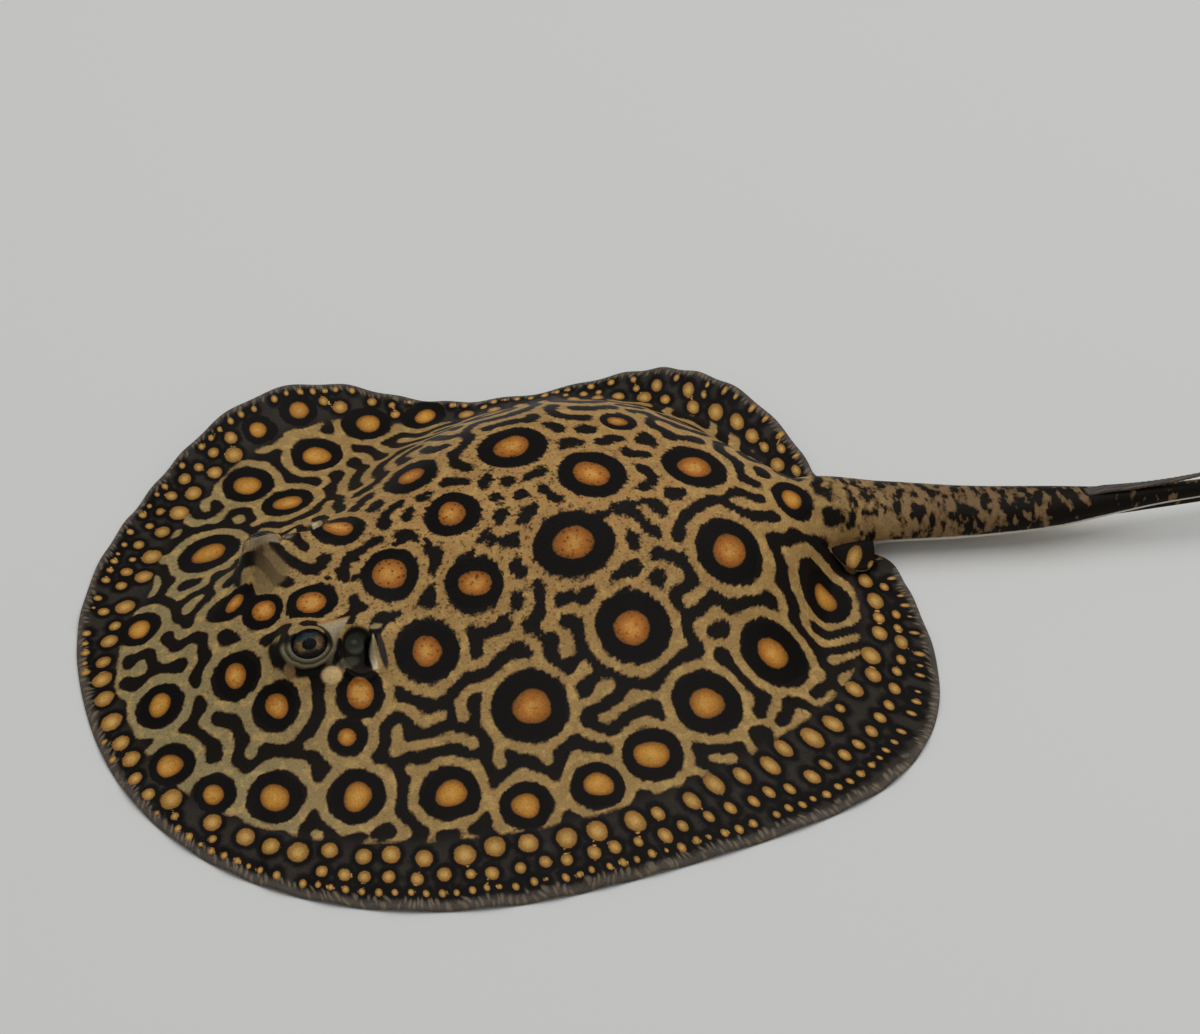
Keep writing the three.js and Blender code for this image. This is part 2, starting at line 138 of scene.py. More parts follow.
def smooth(low, high, x):
    """0 below low, 1 above high, and 3q^2 - 2q^3 of the part between them."""
    q = np.clip((x - low) / (high - low), 0, 1)
    return q * q * (3 - 2 * q)


def bell(x, centre, width):
    """exp(-((x - centre) / width)^2)."""
    return np.exp(-((x - centre) / width)**2)


def disc_outline():
    """The spread disc's outline from snout to fin root: x = centre + half length * c^(2/n) and
    y = half width * sin(angle)^(2/n) with c = -cos(angle) and n rising from snout to rear, then a cubic
    Bezier corner where the rear margin turns in under the tail. Gives points and arc lengths."""
    angle = np.linspace(0, math.pi - OUTLINE_END, 601)
    along = -np.cos(angle)
    power = 2 / (SNOUT_FULLNESS + (REAR_FULLNESS - SNOUT_FULLNESS) * smooth(-0.2, 0.6, along))
    x = DISC_CENTRE + DISC_HALF_LENGTH * np.sign(along) * abs(along)**power
    y = DISC_HALF_WIDTH * np.sin(angle)**power
    u = np.linspace(0, 1, 121)[1:, None]
    corner = np.array([[x[-1], y[-1]], *REAR_CORNER])
    turn = ((1 - u)**3 * corner[0] + 3 * (1 - u)**2 * u * corner[1]
            + 3 * (1 - u) * u**2 * corner[2] + u**3 * corner[3])
    points = np.concatenate([np.stack([x, y], 1), turn])
    lengths = np.concatenate([[0], np.cumsum(np.hypot(*np.diff(points, axis=0).T))])
    return points, lengths


OUTLINE, OUTLINE_LENGTH = disc_outline()
MARGIN_LENGTH = OUTLINE_LENGTH[-1]


def margin(s, side):
    """The fin's margin at s of its length from the snout: the outline, and on the right side the outline
    times its draw, less a pull to the front, at the height of its lift. A ripple that leaves the floor
    by up to RIPPLE runs all round."""
    arc = s * MARGIN_LENGTH
    x = np.interp(arc, OUTLINE_LENGTH, OUTLINE[:, 0])
    y = np.interp(arc, OUTLINE_LENGTH, OUTLINE[:, 1])
    wave = np.sin(2 * math.pi * arc / RIPPLE_LENGTH + 1.3 * np.sin(arc / 14) + side)
    ripple = RIPPLE * (0.5 + 0.5 * wave) * smooth(0.02, 0.1, s) * (1 - smooth(0.9, 0.97, s))
    if side < 0:
        return x, -y, ripple
    out = 1 - smooth(0.93, 1, s)
    drawn = 1 - (1 - through(RIGHT_DRAW, x)) * smooth(8, 40, y) * out
    lift = np.maximum(0, through(RIGHT_LIFT, x)) * smooth(10, 45, y) * out
    pulled = RIGHT_PULL * smooth(40, 112, x) * smooth(8, 30, y) * out
    return x - pulled, y * drawn, lift + ripple


def plan(s, t, side):
    """A point of the disc from above: straight from the row's start on the midline, t = 0, to the fin's
    root, t = 0.5, and straight on from there to the margin, t = 1."""
    edge_x, edge_y, _ = margin(s, side)
    root_x, root_y = through(ROOT_X, s), side * through(ROOT_Y, s)
    start_x = through(ROW_START, s)
    inner = np.clip(2 * t, 0, 1)
    outer = np.clip(2 * t - 1, 0, 1)
    x = start_x + (root_x - start_x) * inner + (edge_x - root_x) * outer
    y = root_y * inner + (edge_y - root_y) * outer
    return x, y


def hump(x, y, side):
    """The body over the fins' plane: the midline's height times exp(-(y / width)^squareness), which fades
    out from 2 to 18 mm behind the tail's start. Also the brows, each a bell both ways."""
    height = (through(MIDLINE_HEIGHT, x) - FIN_THICKNESS) * (1 - smooth(TAIL_START + 2, TAIL_START + 18, x))
    body = height * np.exp(-(abs(y) / through(HUMP_WIDTH[side], x))**through(HUMP_SQUARENESS[side], x))
    brows = sum(rise * bell(x, shift + along, reach) * bell(y, aside * eye_side, width)
                for eye_side, shift in SIDE_SHIFT.items() for rise, along, aside, reach, width in BROWS)
    return body, brows


def underside(s, t, side):
    """The belly lies at z = 0, and rises to the margin's lift with the square of the way over the fin."""
    x, y = plan(s, t, side)
    return np.stack([x, y, margin(s, side)[2] * np.clip(2 * t - 1, 0, 1)**2], -1)


def from_margin(s, t, side):
    """Distance from a point of the disc to the margin along its row."""
    x, y = plan(s, t, side)
    edge_x, edge_y, _ = margin(s, side)
    return np.hypot(edge_x - x, edge_y - y)


def back(s, t, side):
    """The back stands over the underside by the fin's thickness, the brows, and the body times 1 - t^8.
    Next to the margin the fin rounds off as a quarter ellipse."""
    below = underside(s, t, side)
    body, brows = hump(below[..., 0], below[..., 1], side)
    rounding = np.sqrt(1 - (1 - np.clip(from_margin(s, t, side) / ROUNDING, 0, 1))**2)
    thickness = LIP + (FIN_THICKNESS - LIP) * rounding
    return below + np.stack([0 * s, 0 * s, thickness + body * (1 - t**8) + brows], -1)


# The grid's columns stand closer together towards the margin, and its rows towards the tail's root
BODY_ROWS = 276
BACK_COLUMNS = 82
BELLY_COLUMNS = 14
TAIL_ROWS = 64
BESIDE_TAIL = 30.0        # added to the distance from the margin where it turns in beside the tail
TAIL_DEPTH = 99.0         # stands for the distance from the margin on the tail
ROOT_HALF = [12.0, 10.2]  # the tail's half width and half height where it leaves the body
TAIL_BLEND = 24.0         # over this length the body's last row turns into the tail's ellipse
body_rows = np.linspace(0, 1, BODY_ROWS + 1)
back_columns = 1 - (1 - np.linspace(0, 1, BACK_COLUMNS + 1))**1.35
belly_columns = 1 - (1 - np.linspace(0, 1, BELLY_COLUMNS + 1))**1.3


def body_grid(side):
    """One side of the disc as rows from snout to vent, and in each row the points from the midline of the
    belly out to the margin, and back over the top to the midline of the back. Each point also carries its
    row's place along the margin, its distance from the margin, 1 on the back or 0 on the belly, and 0 for
    "not on the tail"."""
    sheets = []
    for columns, surface, over in ((belly_columns[:-1], underside, 0), (back_columns[::-1], back, 1)):
        s, t = np.meshgrid(body_rows, columns, indexing="ij")
        depth = from_margin(s, t, side) + BESIDE_TAIL * smooth(0.92, 0.96, s)
        marks = np.stack([side * s * MARGIN_LENGTH, depth, 0 * s + over, 0 * s], -1)
        sheets.append(np.concatenate([surface(s, t, side), marks], -1))
    return np.concatenate(sheets, 1)


def tail_grid(side, first_row):
    """Half rings of the tail behind the body's last row: each point keeps its own angle round the tail's
    centre line, and moves from the last row's outline to the ellipse
    y = half width * cos(angle), z = half height * sin(angle)."""
    x = TAIL_START + (TAIL_END - TAIL_START) * np.linspace(0, 1, TAIL_ROWS + 1)[1:, None]**1.15
    out = first_row[None, :, 1] * side
    up = first_row[None, :, 2] - through(TAIL_Z, TAIL_START)
    angle = np.arctan2(up / ROOT_HALF[1], out / ROOT_HALF[0])
    slope = through(TAIL_Y, x + 0.5) - through(TAIL_Y, x - 0.5)
    tight = 1 / np.hypot(1, slope)
    blend = smooth(TAIL_START - 4, TAIL_START + TAIL_BLEND, x)
    across = (1 - blend) * out + blend * through(TAIL_HALF_WIDTH, x) * np.cos(angle)
    round_z = through(TAIL_Z, x) + through(TAIL_HALF_HEIGHT, x) * np.sin(angle)
    z = np.maximum((1 - blend) * first_row[None, :, 2] + blend * round_z, 0)
    y = through(TAIL_Y, x) + side * across * tight
    over = smooth(-0.42, -0.06, np.sin(angle)) + 0 * x
    on_tail = smooth(TAIL_START, TAIL_START + 16, x) + 0 * y
    x = x - side * across * slope * tight * blend
    grid = np.stack([x, y, z, 0 * y, 0 * y + TAIL_DEPTH, over, on_tail], -1)
    grid[-1, :, :3] = [TAIL_END, through(TAIL_Y, TAIL_END), through(TAIL_Z, TAIL_END)]
    return grid


def grid_faces(rows, columns):
    """The four-sided faces of a grid of points, numbered row by row."""
    at = np.arange(rows * columns).reshape(rows, columns)
    return np.stack([at[:-1, :-1], at[1:, :-1], at[1:, 1:], at[:-1, 1:]], -1).reshape(-1, 4)


def slab_grid(top, bottom):
    """A thin closed shell: the upper grid, and the lower one laid out beyond its four edges, as one grid
    that wraps round. Its first and last rows are pulled together to the middle of the thickness."""
    wrapped = np.concatenate([top, bottom[:, ::-1], top[:, :1]], 1)
    ends = (top + bottom) / 2
    first = np.concatenate([ends[:1], ends[:1, ::-1], ends[:1, :1]], 1)
    last = np.concatenate([ends[-1:], ends[-1:, ::-1], ends[-1:, :1]], 1)
    return np.concatenate([first, wrapped, last])


PELVIC_ROOT = [[92, 10.4], [103, 9.6]]
PELVIC_EDGE = [[92, 11], [92, 18], [104, 22], [104.5, 11]]
PELVIC_HEIGHT = 7.6
PELVIC_DROOP = 4.4
PELVIC_MARK = 98.0  # stands for the distance from the margin on these fins
FOLD_THICKNESS = 0.8
TAIL_FOLDS = [{"from": 213, "to": 280, "height": 2.2, "up": 1},
              {"from": 172, "to": 276, "height": 2.6, "up": -1}]


def pelvic_grid(side):
    """A pelvic fin: a small rounded flap. Each row runs straight from the tail's side to a cubic Bezier
    edge, sinks by the droop over 9 mm, and thins from 1.6 mm to 0.5 mm with the root of the part left."""
    a, b = np.meshgrid(np.linspace(0, 1, 29), np.linspace(0, 1, 15), indexing="ij")
    edge = np.array(PELVIC_EDGE)
    weights = [(1 - a)**3, 3 * (1 - a)**2 * a, 3 * (1 - a) * a**2, a**3]
    edge_x = sum(w * p for w, p in zip(weights, edge[:, 0]))
    edge_y = sum(w * p for w, p in zip(weights, edge[:, 1]))
    root = np.array(PELVIC_ROOT)
    root_x, root_y = (root[0, k] + (root[1, k] - root[0, k]) * a for k in (0, 1))
    x, y = root_x + (edge_x - root_x) * b, root_y + (edge_y - root_y) * b
    z = PELVIC_HEIGHT - PELVIC_DROOP * smooth(0, 1, (y - root_y) / 9) + 0.3 * np.sin(7 * a) * b
    follow = (side < 0) * -2 * smooth(TAIL_START, TAIL_START + 20, x)
    half = 0.25 + 0.55 * np.sqrt(np.clip(1 - b, 0, 1))
    marks = [0 * x, 0 * x + PELVIC_MARK, 0 * x, 0 * x]
    top = np.stack([x, side * y + follow, z + half, *marks], -1)
    top[..., 5] = 1
    return slab_grid(top, np.stack([x, side * y + follow, z - half, *marks], -1))


def fold_grid(fold):
    """A low keel of skin along the tail: it rises from the tail's own surface by
    height * sin(pi * part^0.6)^0.7 and thins evenly towards its crest."""
    x, b = np.meshgrid(np.linspace(fold["from"], fold["to"], 61), np.linspace(0, 1, 5), indexing="ij")
    part = (x - fold["from"]) / (fold["to"] - fold["from"])
    tall = 0.1 + fold["height"] * np.abs(np.sin(math.pi * part**0.6))**0.7
    z = through(TAIL_Z, x) + fold["up"] * (through(TAIL_HALF_HEIGHT, x) - 0.4 + (tall + 0.4) * b)
    half = FOLD_THICKNESS * (0.5 - 0.32 * b)
    z = np.maximum(z, 0.05 + 0.1 * b)
    walls = [np.stack([x, through(TAIL_Y, x) + across * half, z, 0 * x, 0 * x + TAIL_DEPTH, 0 * x + 1,
                       0 * x + 1], -1) for across in (-1, 1)]
    return slab_grid(*walls)


sheets = []
for side in (-1, 1):
    body = body_grid(side)
    sheets += [np.concatenate([body, tail_grid(side, body[-1])]), pelvic_grid(side)]
sheets += [fold_grid(fold) for fold in TAIL_FOLDS]
points = np.concatenate([sheet.reshape(-1, 7) for sheet in sheets])
starts = np.cumsum([0] + [sheet.shape[0] * sheet.shape[1] for sheet in sheets])
faces = np.concatenate([grid_faces(*sheet.shape[:2]) + start for sheet, start in zip(sheets, starts)])

mesh = bpy.data.meshes.new("ray_skin")
mesh.from_pydata((points[:, :3] * MM).tolist(), [], faces.tolist())
for name, column in (("arc", 3), ("depth", 4), ("over", 5), ("tail", 6)):
    mesh.attributes.new(name, "FLOAT", "POINT").data.foreach_set("value", points[:, column])

# Lids and spiracles. Each has a centre, an axis out of the head, and its own measures round that axis: u
# to the rear along the body, v inward over the back, and the height along the axis.
SIDE_NAMES = {-1: "left", 1: "right"}
EYE_PLACES = {side: np.mean(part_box(f"eye_{name}"), axis=0) / MM for side, name in SIDE_NAMES.items()}
EYE_AXIS = [-0.03, 0.65, 0.76]
EYE_HALF = [4.75, 3.9]  # the opening between the lids, along the body and across
DOME_HALF = [7.0, 6.5]  # the foot of the lids' dome
DOME_HEIGHT = 6.3
GLOBE = 5.5             # radius of the eyeball
EYE_REACH = 15.0        # nothing farther from an eye's or a spiracle's centre is shaped with it
SPIRACLE_PLACE = [-47.3, 23.8, 21.0]
SPIRACLE_AXIS = [0.05, 0.70, 0.71]
SPIRACLE_HALF = [5.2, 7.0]
SPIRACLE_DEPTH = 7.0
KNOB = [-8.7, -5.0]     # a small round knob between the eye and the spiracle
# The mesh's edges are halved three times round the eyes and twice round the spiracles: how far out
FINER = [[12.5, 12.5], [8.2, 8.2], [6.9, 0]]
WELD = 2e-6      # points nearer than this are joined, in metres
NO_EDGE = 1e-7   # and edges shorter than this are taken out


def mirrored(vector, side):
    """The same vector on the ray's other side."""
    return np.array(vector, float) * [1, side, 1]


def own_axes(axis, side):
    """Unit vectors of u, v and the height: the part of x that is square to the axis, the cross product of
    the two, and the axis."""
    out = mirrored(axis, side) / np.linalg.norm(axis)
    along = np.array([1.0, 0, 0]) - out[0] * out
    along /= np.linalg.norm(along)
    return np.stack([along, -side * np.cross(out, along), out])


SPIRACLE_PLACES = {side: mirrored(SPIRACLE_PLACE, side) + [SIDE_SHIFT[side], 0, 0] for side in (-1, 1)}


def soft_max(a, b, width):
    """The larger of two heights, plus (width - difference)^2 / (4 * width) where they differ by less than
    the width, which fills the corner between them."""
    near = np.clip(width - abs(a - b), 0, None) / width
    return np.maximum(a, b) + near**2 * width / 4


def spot(u, v, place, half):
    """1 inside an ellipse round the place, 0 outside, with a soft edge."""
    return 1 - smooth(0.8, 1.15, np.hypot((u - place[0]) / half[0], (v - place[1]) / half[1]))


def eye_lids(u, v, base):
    """Height of the skin round the eye: a dome 1 - r^2.6, plus bells over e for a rim at 1.1, a fold at 1.5
    and a crease on each side of it, deepest below the eye, and inside the opening a drop below the globe.
    Here r is the distance from the centre in halves of the dome, and e in halves of the opening, made a
    little uneven round it. Also gives e, and 1 below the eye and 0 above."""
    turn = np.arctan2(v, u)
    uneven = 0.018 * np.sin(5 * turn + 1) + 0.012 * np.sin(11 * turn + 2)
    e = np.hypot(u / EYE_HALF[0], v / EYE_HALF[1])
    e = e + uneven * smooth(1.05, 1.3, e)
    r = np.hypot(u / DOME_HALF[0], v / DOME_HALF[1])
    height = soft_max(base, DOME_HEIGHT * (1 - r**2.6), 1.6)
    lower = smooth(1.5, -1.5, v + 0.25 * u)
    height += 0.5 * bell(e, 1.1, 0.09) - 0.5 * bell(e, 1.29, 0.07) * (0.3 + 0.7 * lower)
    height += (0.4 * bell(e, 1.48, 0.1) - 0.35 * bell(e, 1.72, 0.09)) * (0.25 + 0.75 * lower)
    well = np.sqrt(np.clip(GLOBE**2 - u**2 - v**2, 0, None)) - 1.6
    height = height + (well - height) * smooth(1.03, 0.9, e)
    return height, e, lower


def spiracle_pit(u, v, base):
    """Height of the skin at the spiracle: a pit inside e = 1, steepest behind, with a raised rim at 1.12, a
    round lobe on its floor and a thin upright valve before its rear wall. Also gives e, the distance from
    the centre in halves of the opening."""
    e = np.hypot(u / SPIRACLE_HALF[0], v / SPIRACLE_HALF[1])
    deep = 1 - smooth(0.55, 1.0, e + 0.08 * smooth(-2, 4, u) * (e < 1))
    rim = 0.8 * bell(e, 1.12, 0.12) * (0.4 + 0.6 * smooth(2, -3, u))
    lobe = 2.2 * bell(u, -0.3, 1.6) * bell(v, 2.4, 1.3)
    valve = 3.6 * bell(u, 3.9 + 0.09 * (v + 1.4), 0.5) * (1 - smooth(3.4, 5.2, abs(v + 1)))
    return base + rim - SPIRACLE_DEPTH * deep + (lobe + valve) * deep, e


shell = bmesh.new()
shell.from_mesh(mesh)
bmesh.ops.remove_doubles(shell, verts=shell.verts, dist=WELD)
bmesh.ops.dissolve_degenerate(shell, edges=shell.edges, dist=NO_EDGE)
bmesh.ops.recalc_face_normals(shell, faces=shell.faces)
for eye_reach, spiracle_reach in FINER:
    close = set()
    for places, reach in ((EYE_PLACES, eye_reach), (SPIRACLE_PLACES, spiracle_reach)):
        for centre in places.values():
            close |= {face for face in shell.faces if face.normal.z > 0.1
                      and math.dist(face.calc_center_median(), centre * MM) < reach * MM}
    edges = {edge for face in close for edge in face.edges}
    bmesh.ops.subdivide_edges(shell, edges=list(edges), cuts=1, use_grid_fill=True)
shell.to_mesh(mesh)
shell.free()

count = len(mesh.vertices)
place = np.empty(3 * count)
mesh.vertices.foreach_get("co", place)
place = place.reshape(-1, 3) / MM
arc, depth, over, tail = (np.empty(count) for _ in range(4))
for name, values in (("arc", arc), ("depth", depth), ("over", over), ("tail", tail)):
    mesh.attributes[name].data.foreach_get("value", values)


def tint(colour):
    """An sRGB colour "#rrggbb" as the linear colour that shaders take."""
    part = np.array([int(colour[k:k + 2], 16) for k in (1, 3, 5)]) / 255
    linear = np.where(part < 0.04045, part / 12.92, ((part + 0.055) / 1.055)**2.4)
    return (*linear.tolist(), 1)


# Paint for the lids and the spiracle's lining, painted shade and highlights among it, laid over the
# markings: red, green, blue, and how much
paint = np.zeros((count, 4))


def lay(where, mask, colour):
    """Lays a colour over the paint of some vertices: old + (new - old) * mask, and the larger amount."""
    mask = mask[:, None]
    paint[where, :3] += (np.array(tint(colour))[:3] - paint[where, :3]) * mask
    paint[where, 3:] = np.maximum(paint[where, 3:], mask)


for side in (-1, 1):
    axes = own_axes(EYE_AXIS, side)
    from_eye = (place - EYE_PLACES[side]) @ axes.T
    near = np.flatnonzero((np.linalg.norm(from_eye, axis=1) < EYE_REACH) & (over > 0.5))
    u, v, base = from_eye[near].T
    height, e, lower = eye_lids(u, v, base)
    place[near] += (height - base)[:, None] * axes[2]
    # A dark band below the lids, over the lower lid's outer crease, and a brown spot on it
    lay(near, smooth(1.5, 1.62, e) * (1 - smooth(2.1, 2.3, e)) * smooth(1.2, -0.6, v + 0.35 * u), "#1a1713")
    lay(near, spot(u, v, [-6.2, -5.4], [1.5, 2.1]), "#8f7048")
    # The lower lid with its pale fold, a painted highlight on the fold's ridge, the crease below its rim in
    # painted shade, and its pale rim; and the upper lid's rim, a short tan painted highlight
    lay(near, (1 - smooth(1.52, 1.62, e)) * lower, "#7a7058")
    # painted highlight: the lower lid's fold made lighter along its ridge
    lay(near, bell(e, 1.42, 0.08) * lower * 0.8, "#aaa286")
    # painted shade: the crease between the rim and the fold made darker
    lay(near, bell(e, 1.27, 0.05) * (0.2 + 0.5 * np.maximum(lower, smooth(0, 3, u))), "#2f2c26")
    lay(near, bell(e, 1.12, 0.06) * lower * 0.8, "#a9a48d")
    # painted highlight: a short tan light along the upper lid's rim
    lay(near, bell(e, 1.15, 0.06) * (1 - lower) * smooth(3.4, 1.4, abs(u - 1)), "#a8935f")
    # A pale wedge of skin between the lids and the spiracle, orange at its top, and made brighter upwards
    # by a painted highlight
    right = 8.2 + (v - 0.5) * np.where(v < 0.5, 0.5, 0.93)
    wedge = smooth(1.28, 1.42, e) * smooth(3.0, 3.9, u) * smooth(0.4, -0.4, u - right)
    wedge *= smooth(-7.5, -4, v) * smooth(5.7, 5.2, v) * (1 if side < 0 else smooth(3, 0, v))
    lay(near, wedge, "#7f7257")
    # painted highlight: the wedge lighter towards its top
    lay(near, wedge * smooth(-2, 4.5, v), "#b5a483")
    lay(near, wedge * bell(v, 5.2, 0.4), "#b5854a")
    # The right lid's inner face: a pale patch, tan skin above it, and a dark blot between them
    if side > 0:
        lay(near, spot(u, v, [0.2, 3.8], [4.4, 1.3]), "#9b8b6e")
        lay(near, spot(u, v, [-0.5, 8.2], [5.2, 2.6]) * 0.75, "#8a744d")
        lay(near, bell(np.hypot((u + 1.5) / 2.7, (v - 5.9) / 1.3), 0, 0.9)**0.6, "#43341f")
    # painted shade: the skin in the gap between the lids and the globe, near black
    lay(near, 1 - smooth(0.98, 1.06, e), "#141414")

    axes = own_axes(SPIRACLE_AXIS, side)
    from_spiracle = (place - SPIRACLE_PLACES[side]) @ axes.T
    near = np.flatnonzero((np.linalg.norm(from_spiracle, axis=1) < EYE_REACH) & (over > 0.5))
    u, v, base = from_spiracle[near].T
    height, e = spiracle_pit(u, v, base)
    knob = 0.7 * (1 - smooth(0.2, 1.2, np.hypot((u - KNOB[0]) / 2.9, (v - KNOB[1]) / 2.6)))
    place[near] += (height + knob - base)[:, None] * axes[2]
    lay(near, spot(u, v, KNOB, [2.9, 2.5]), "#e6c58a")
    # The pit's lining, painted dark as the pit's shade, its front lip, the lobe, and the wall behind the
    # valve, painted dark as shade behind it
    # painted shade: the inside of the pit made dark
    lay(near, 1 - smooth(0.84, 1.0, e), "#352d29")
    lay(near, spot(u, v, [-3.2, -2.6], [3.6, 1.4]), "#5d5c4c")
    lay(near, spot(u, v, [0.2, 2.0], [2.7, 2.8]) * 0.8, "#7d8272")
    # painted shade: the wall behind the valve made dark
    lay(near, spot(u, v, [5.75, -1.4], [1.0, 5.2]), "#3b3733")
    # The valve: a pale blade with a tan rear half, a black slit before it that is painted shade in the gap
    # before the blade, and on the left a pale cap
    left = 4.2 - 0.22 * (3.6 - v)
    right = 4.5 + 0.035 * (3.6 - v)
    blade = smooth(left - 0.2, left + 0.2, u) * smooth(right + 0.2, right - 0.2, u)
    blade *= smooth(-6.3, -5.6, v) * (smooth(3.9, 3.2, v) if side < 0 else smooth(1.0, -1.0, v))
    slit = smooth(left - 1.6, left - 0.9, u) * smooth(left, left - 0.3, u) * smooth(4.5, 3.5, abs(v + 1))
    # painted shade: a black gap before the blade
    lay(near, slit, "#0c0b0a")
    lay(near, blade, "#f0e3b8")
    lay(near, blade * smooth(-0.2, 0.2, u - (left + right) / 2), "#c09a68")
    if side < 0:
        lay(near, spot(u, v, [5.7, 5.3], [2.0, 0.8]), "#a18c68")

# ------------------------------------------------------------------------------------------------
# Skin, the markings: pigment that grew with the hide. Orange eye spots in black rings stand in a tan
# net over dark ground. The margin is dark, with rows of yellow spots and a pale fringe.
# ------------------------------------------------------------------------------------------------
# Eye spots seen from above: x, y, radius of the orange centre, radius of the black ring, stretch along x
EYE_SPOTS = [
    [-102, -33, 3.6, 6.4, 1], [-101, -14, 3.6, 6.6, 1], [-101, 17, 3.4, 6.2, 1], [-93, -46, 3.2, 6, 1],
    [-80, -16, 3.8, 6.8, 1], [-78, -53, 3.9, 7.6, 1], [-77, 39, 4.6, 9, 1], [-76, 7, 2.6, 5, 1.4],
    [-72, -29, 3.6, 6.4, 1], [-69, -1, 3.2, 5.6, 1], [-60, 67, 4, 7.5, 1], [-58, -60, 4, 7.6, 1],
    [-56, -43, 2.8, 5.2, 1], [-56, -5, 3.8, 6.4, 1.1], [-52, 88, 3.2, 6, 1], [-51, 53, 4, 7.5, 1],
    [-50, -33, 4, 6.4, 1], [-43, 19, 4, 7.5, 1], [-39, 93, 3.2, 6, 1], [-38, 74, 4.2, 7.6, 1],
    [-35, -67, 4, 7.8, 1], [-34, -4, 4.2, 7.8, 1], [-30, -27, 4.6, 8.5, 1], [-20, 84, 4, 7.5, 1],
    [-19, 31, 3.8, 7.6, 1], [-17, -77, 3.6, 6.8, 1], [-13, -14, 3.9, 7.6, 1], [-13, 8, 4.3, 8, 1],
    [-8, -50, 5, 10.2, 1], [-3, 82, 3.5, 7, 1], [2, -77, 3.6, 6.8, 1], [10, 28, 4.6, 9, 1.1],
    [16, -11, 4.6, 8.9, 1.25], [19, -72, 4.1, 7.8, 1], [25, -36, 5, 10, 1], [28, 10, 4.8, 9.5, 1],
    [38, -60, 4.7, 9.4, 1], [43, 33, 2.6, 5, 1], [58, -20, 4.6, 9.2, 1], [58, 10, 4.8, 9, 1],
    [62, -47, 4.8, 9.6, 1], [83, -3, 3.6, 7, 0.8], [85, -26, 4.2, 8.4, 0.9],
    [38, 56, 4.4, 8.6, 1], [12, 60, 4.2, 8.2, 1], [66, 44, 4.2, 8.0, 1],
]
# Spots on the pelvic fins: x, distance from the midline, radius, stretch along their heading
PELVIC_SPOTS = [[97.8, 15.6, 1.9, 1.7], [102.2, 18.6, 1.2, 1.2], [95.4, 19.6, 1.1, 1.3]]
PELVIC_HEADING = [0.74, -0.67]
# Rows of spots along the margin. part is a row's distance inside it, as a part of the first row's. Between
# the two parts of the margin's length given as drawn, a row's stretch grows by longer, and where turned
# is 1 its spots turn from across the margin to along it.
SPOT_ROWS = [
    {"part": 1.0, "spacing": 9.2, "radius": 2.6, "stretch": 1.1, "drawn": [0.45, 0.62], "longer": 0.4,
     "turned": 1},
    {"part": 0.6, "spacing": 6.6, "radius": 1.75, "stretch": 1.15, "drawn": [0.45, 0.62], "longer": 0.4,
     "turned": 1},
    {"part": 0.29, "spacing": 4.0, "radius": 1.0, "stretch": 1.35, "drawn": [0.68, 0.76], "longer": 0.8,
     "turned": 0},
]
# How far inside the margin the first row runs, from snout to fin root
FIRST_ROW = {
    -1: [[0, 5], [0.12, 8], [0.25, 13.5], [0.36, 17], [0.52, 16], [0.6, 19.5], [0.71, 26], [0.8, 19.5],
         [0.86, 14], [1, 9]],
    1: [[0, 5], [0.1, 13.5], [0.14, 18.5], [0.2, 16], [0.29, 15.5], [0.38, 12.5], [0.45, 9], [0.55, 10],
        [0.62, 14], [0.72, 13.5], [0.8, 10], [1, 9]],
}
ROWS_END = 0.95    # the rows end at this part of the margin's length
SPOT_GAP = 1.5     # how far a row's spot keeps from any other; it may touch a black ring
LEAST_ROOM = 0.55  # a row's spot with less room than this part of its radius is left out
HALO = 1.7         # the tan ring round each black one is strongest this far outside it
NET_WAVE = 6.3
NET_ROUNDS = 26
FIELD_STEP = 0.75
FIELD_X = np.arange(-126, 130, FIELD_STEP)
FIELD_Y = np.arange(-111, 111, FIELD_STEP)


def grow_net(seed, held, lean):
    """Tan net over dark ground, as pigment cells make it: seeded noise is filtered over and over with a
    narrow bell less 0.98 of one twice as wide, tripled and pressed through tanh, so that blots a wavelength
    apart grow. held gives where it is kept at 1, dark, or -1, tan, and lean pushes it either way."""
    waves = [2 * math.pi * np.fft.fftfreq(n, FIELD_STEP) for n in held.shape]
    k = np.hypot(waves[0][:, None], waves[1][None])
    response = np.exp(-(k * NET_WAVE * 0.16)**2 / 2) - 0.98 * np.exp(-(k * NET_WAVE * 0.32)**2 / 2)
    response /= response.max()
    field = np.random.default_rng(seed).normal(size=held.shape) * 0.5
    for _ in range(NET_ROUNDS):
        field = np.tanh(3 * (np.real(np.fft.ifft2(np.fft.fft2(field) * response)) + lean))
        field += (np.sign(held) - field) * abs(held)
    return field


def sample(field, x, y):
    """Value of a field at places between its points, by weights of the four points around each."""
    a = np.clip((x - FIELD_X[0]) / FIELD_STEP, 0, field.shape[0] - 1.001)
    b = np.clip((y - FIELD_Y[0]) / FIELD_STEP, 0, field.shape[1] - 1.001)
    i, j = a.astype(int), b.astype(int)
    a, b = a - i, b - j
    return ((1 - a) * (1 - b) * field[i, j] + a * (1 - b) * field[i + 1, j]
            + (1 - a) * b * field[i, j + 1] + a * b * field[i + 1, j + 1])


def sway(points, seed):
    """Small shifts in x and y that make the rings uneven: sums of six seeded sine waves of 12 to 30 mm,
    each 0.24 mm high."""
    draw = np.random.default_rng(seed)
    turns = draw.uniform(0, 2 * math.pi, (6, 3))
    waves = 2 * math.pi / draw.uniform(12, 30, 6)
    shift = np.zeros_like(points)
    for wave, (heading, phase_x, phase_y) in zip(waves, turns):
        travel = wave * (points[:, 0] * math.cos(heading) + points[:, 1] * math.sin(heading))
        shift[:, 0] += 0.24 * np.sin(travel + phase_x)
        shift[:, 1] += 0.24 * np.sin(travel + phase_y)
    return shift


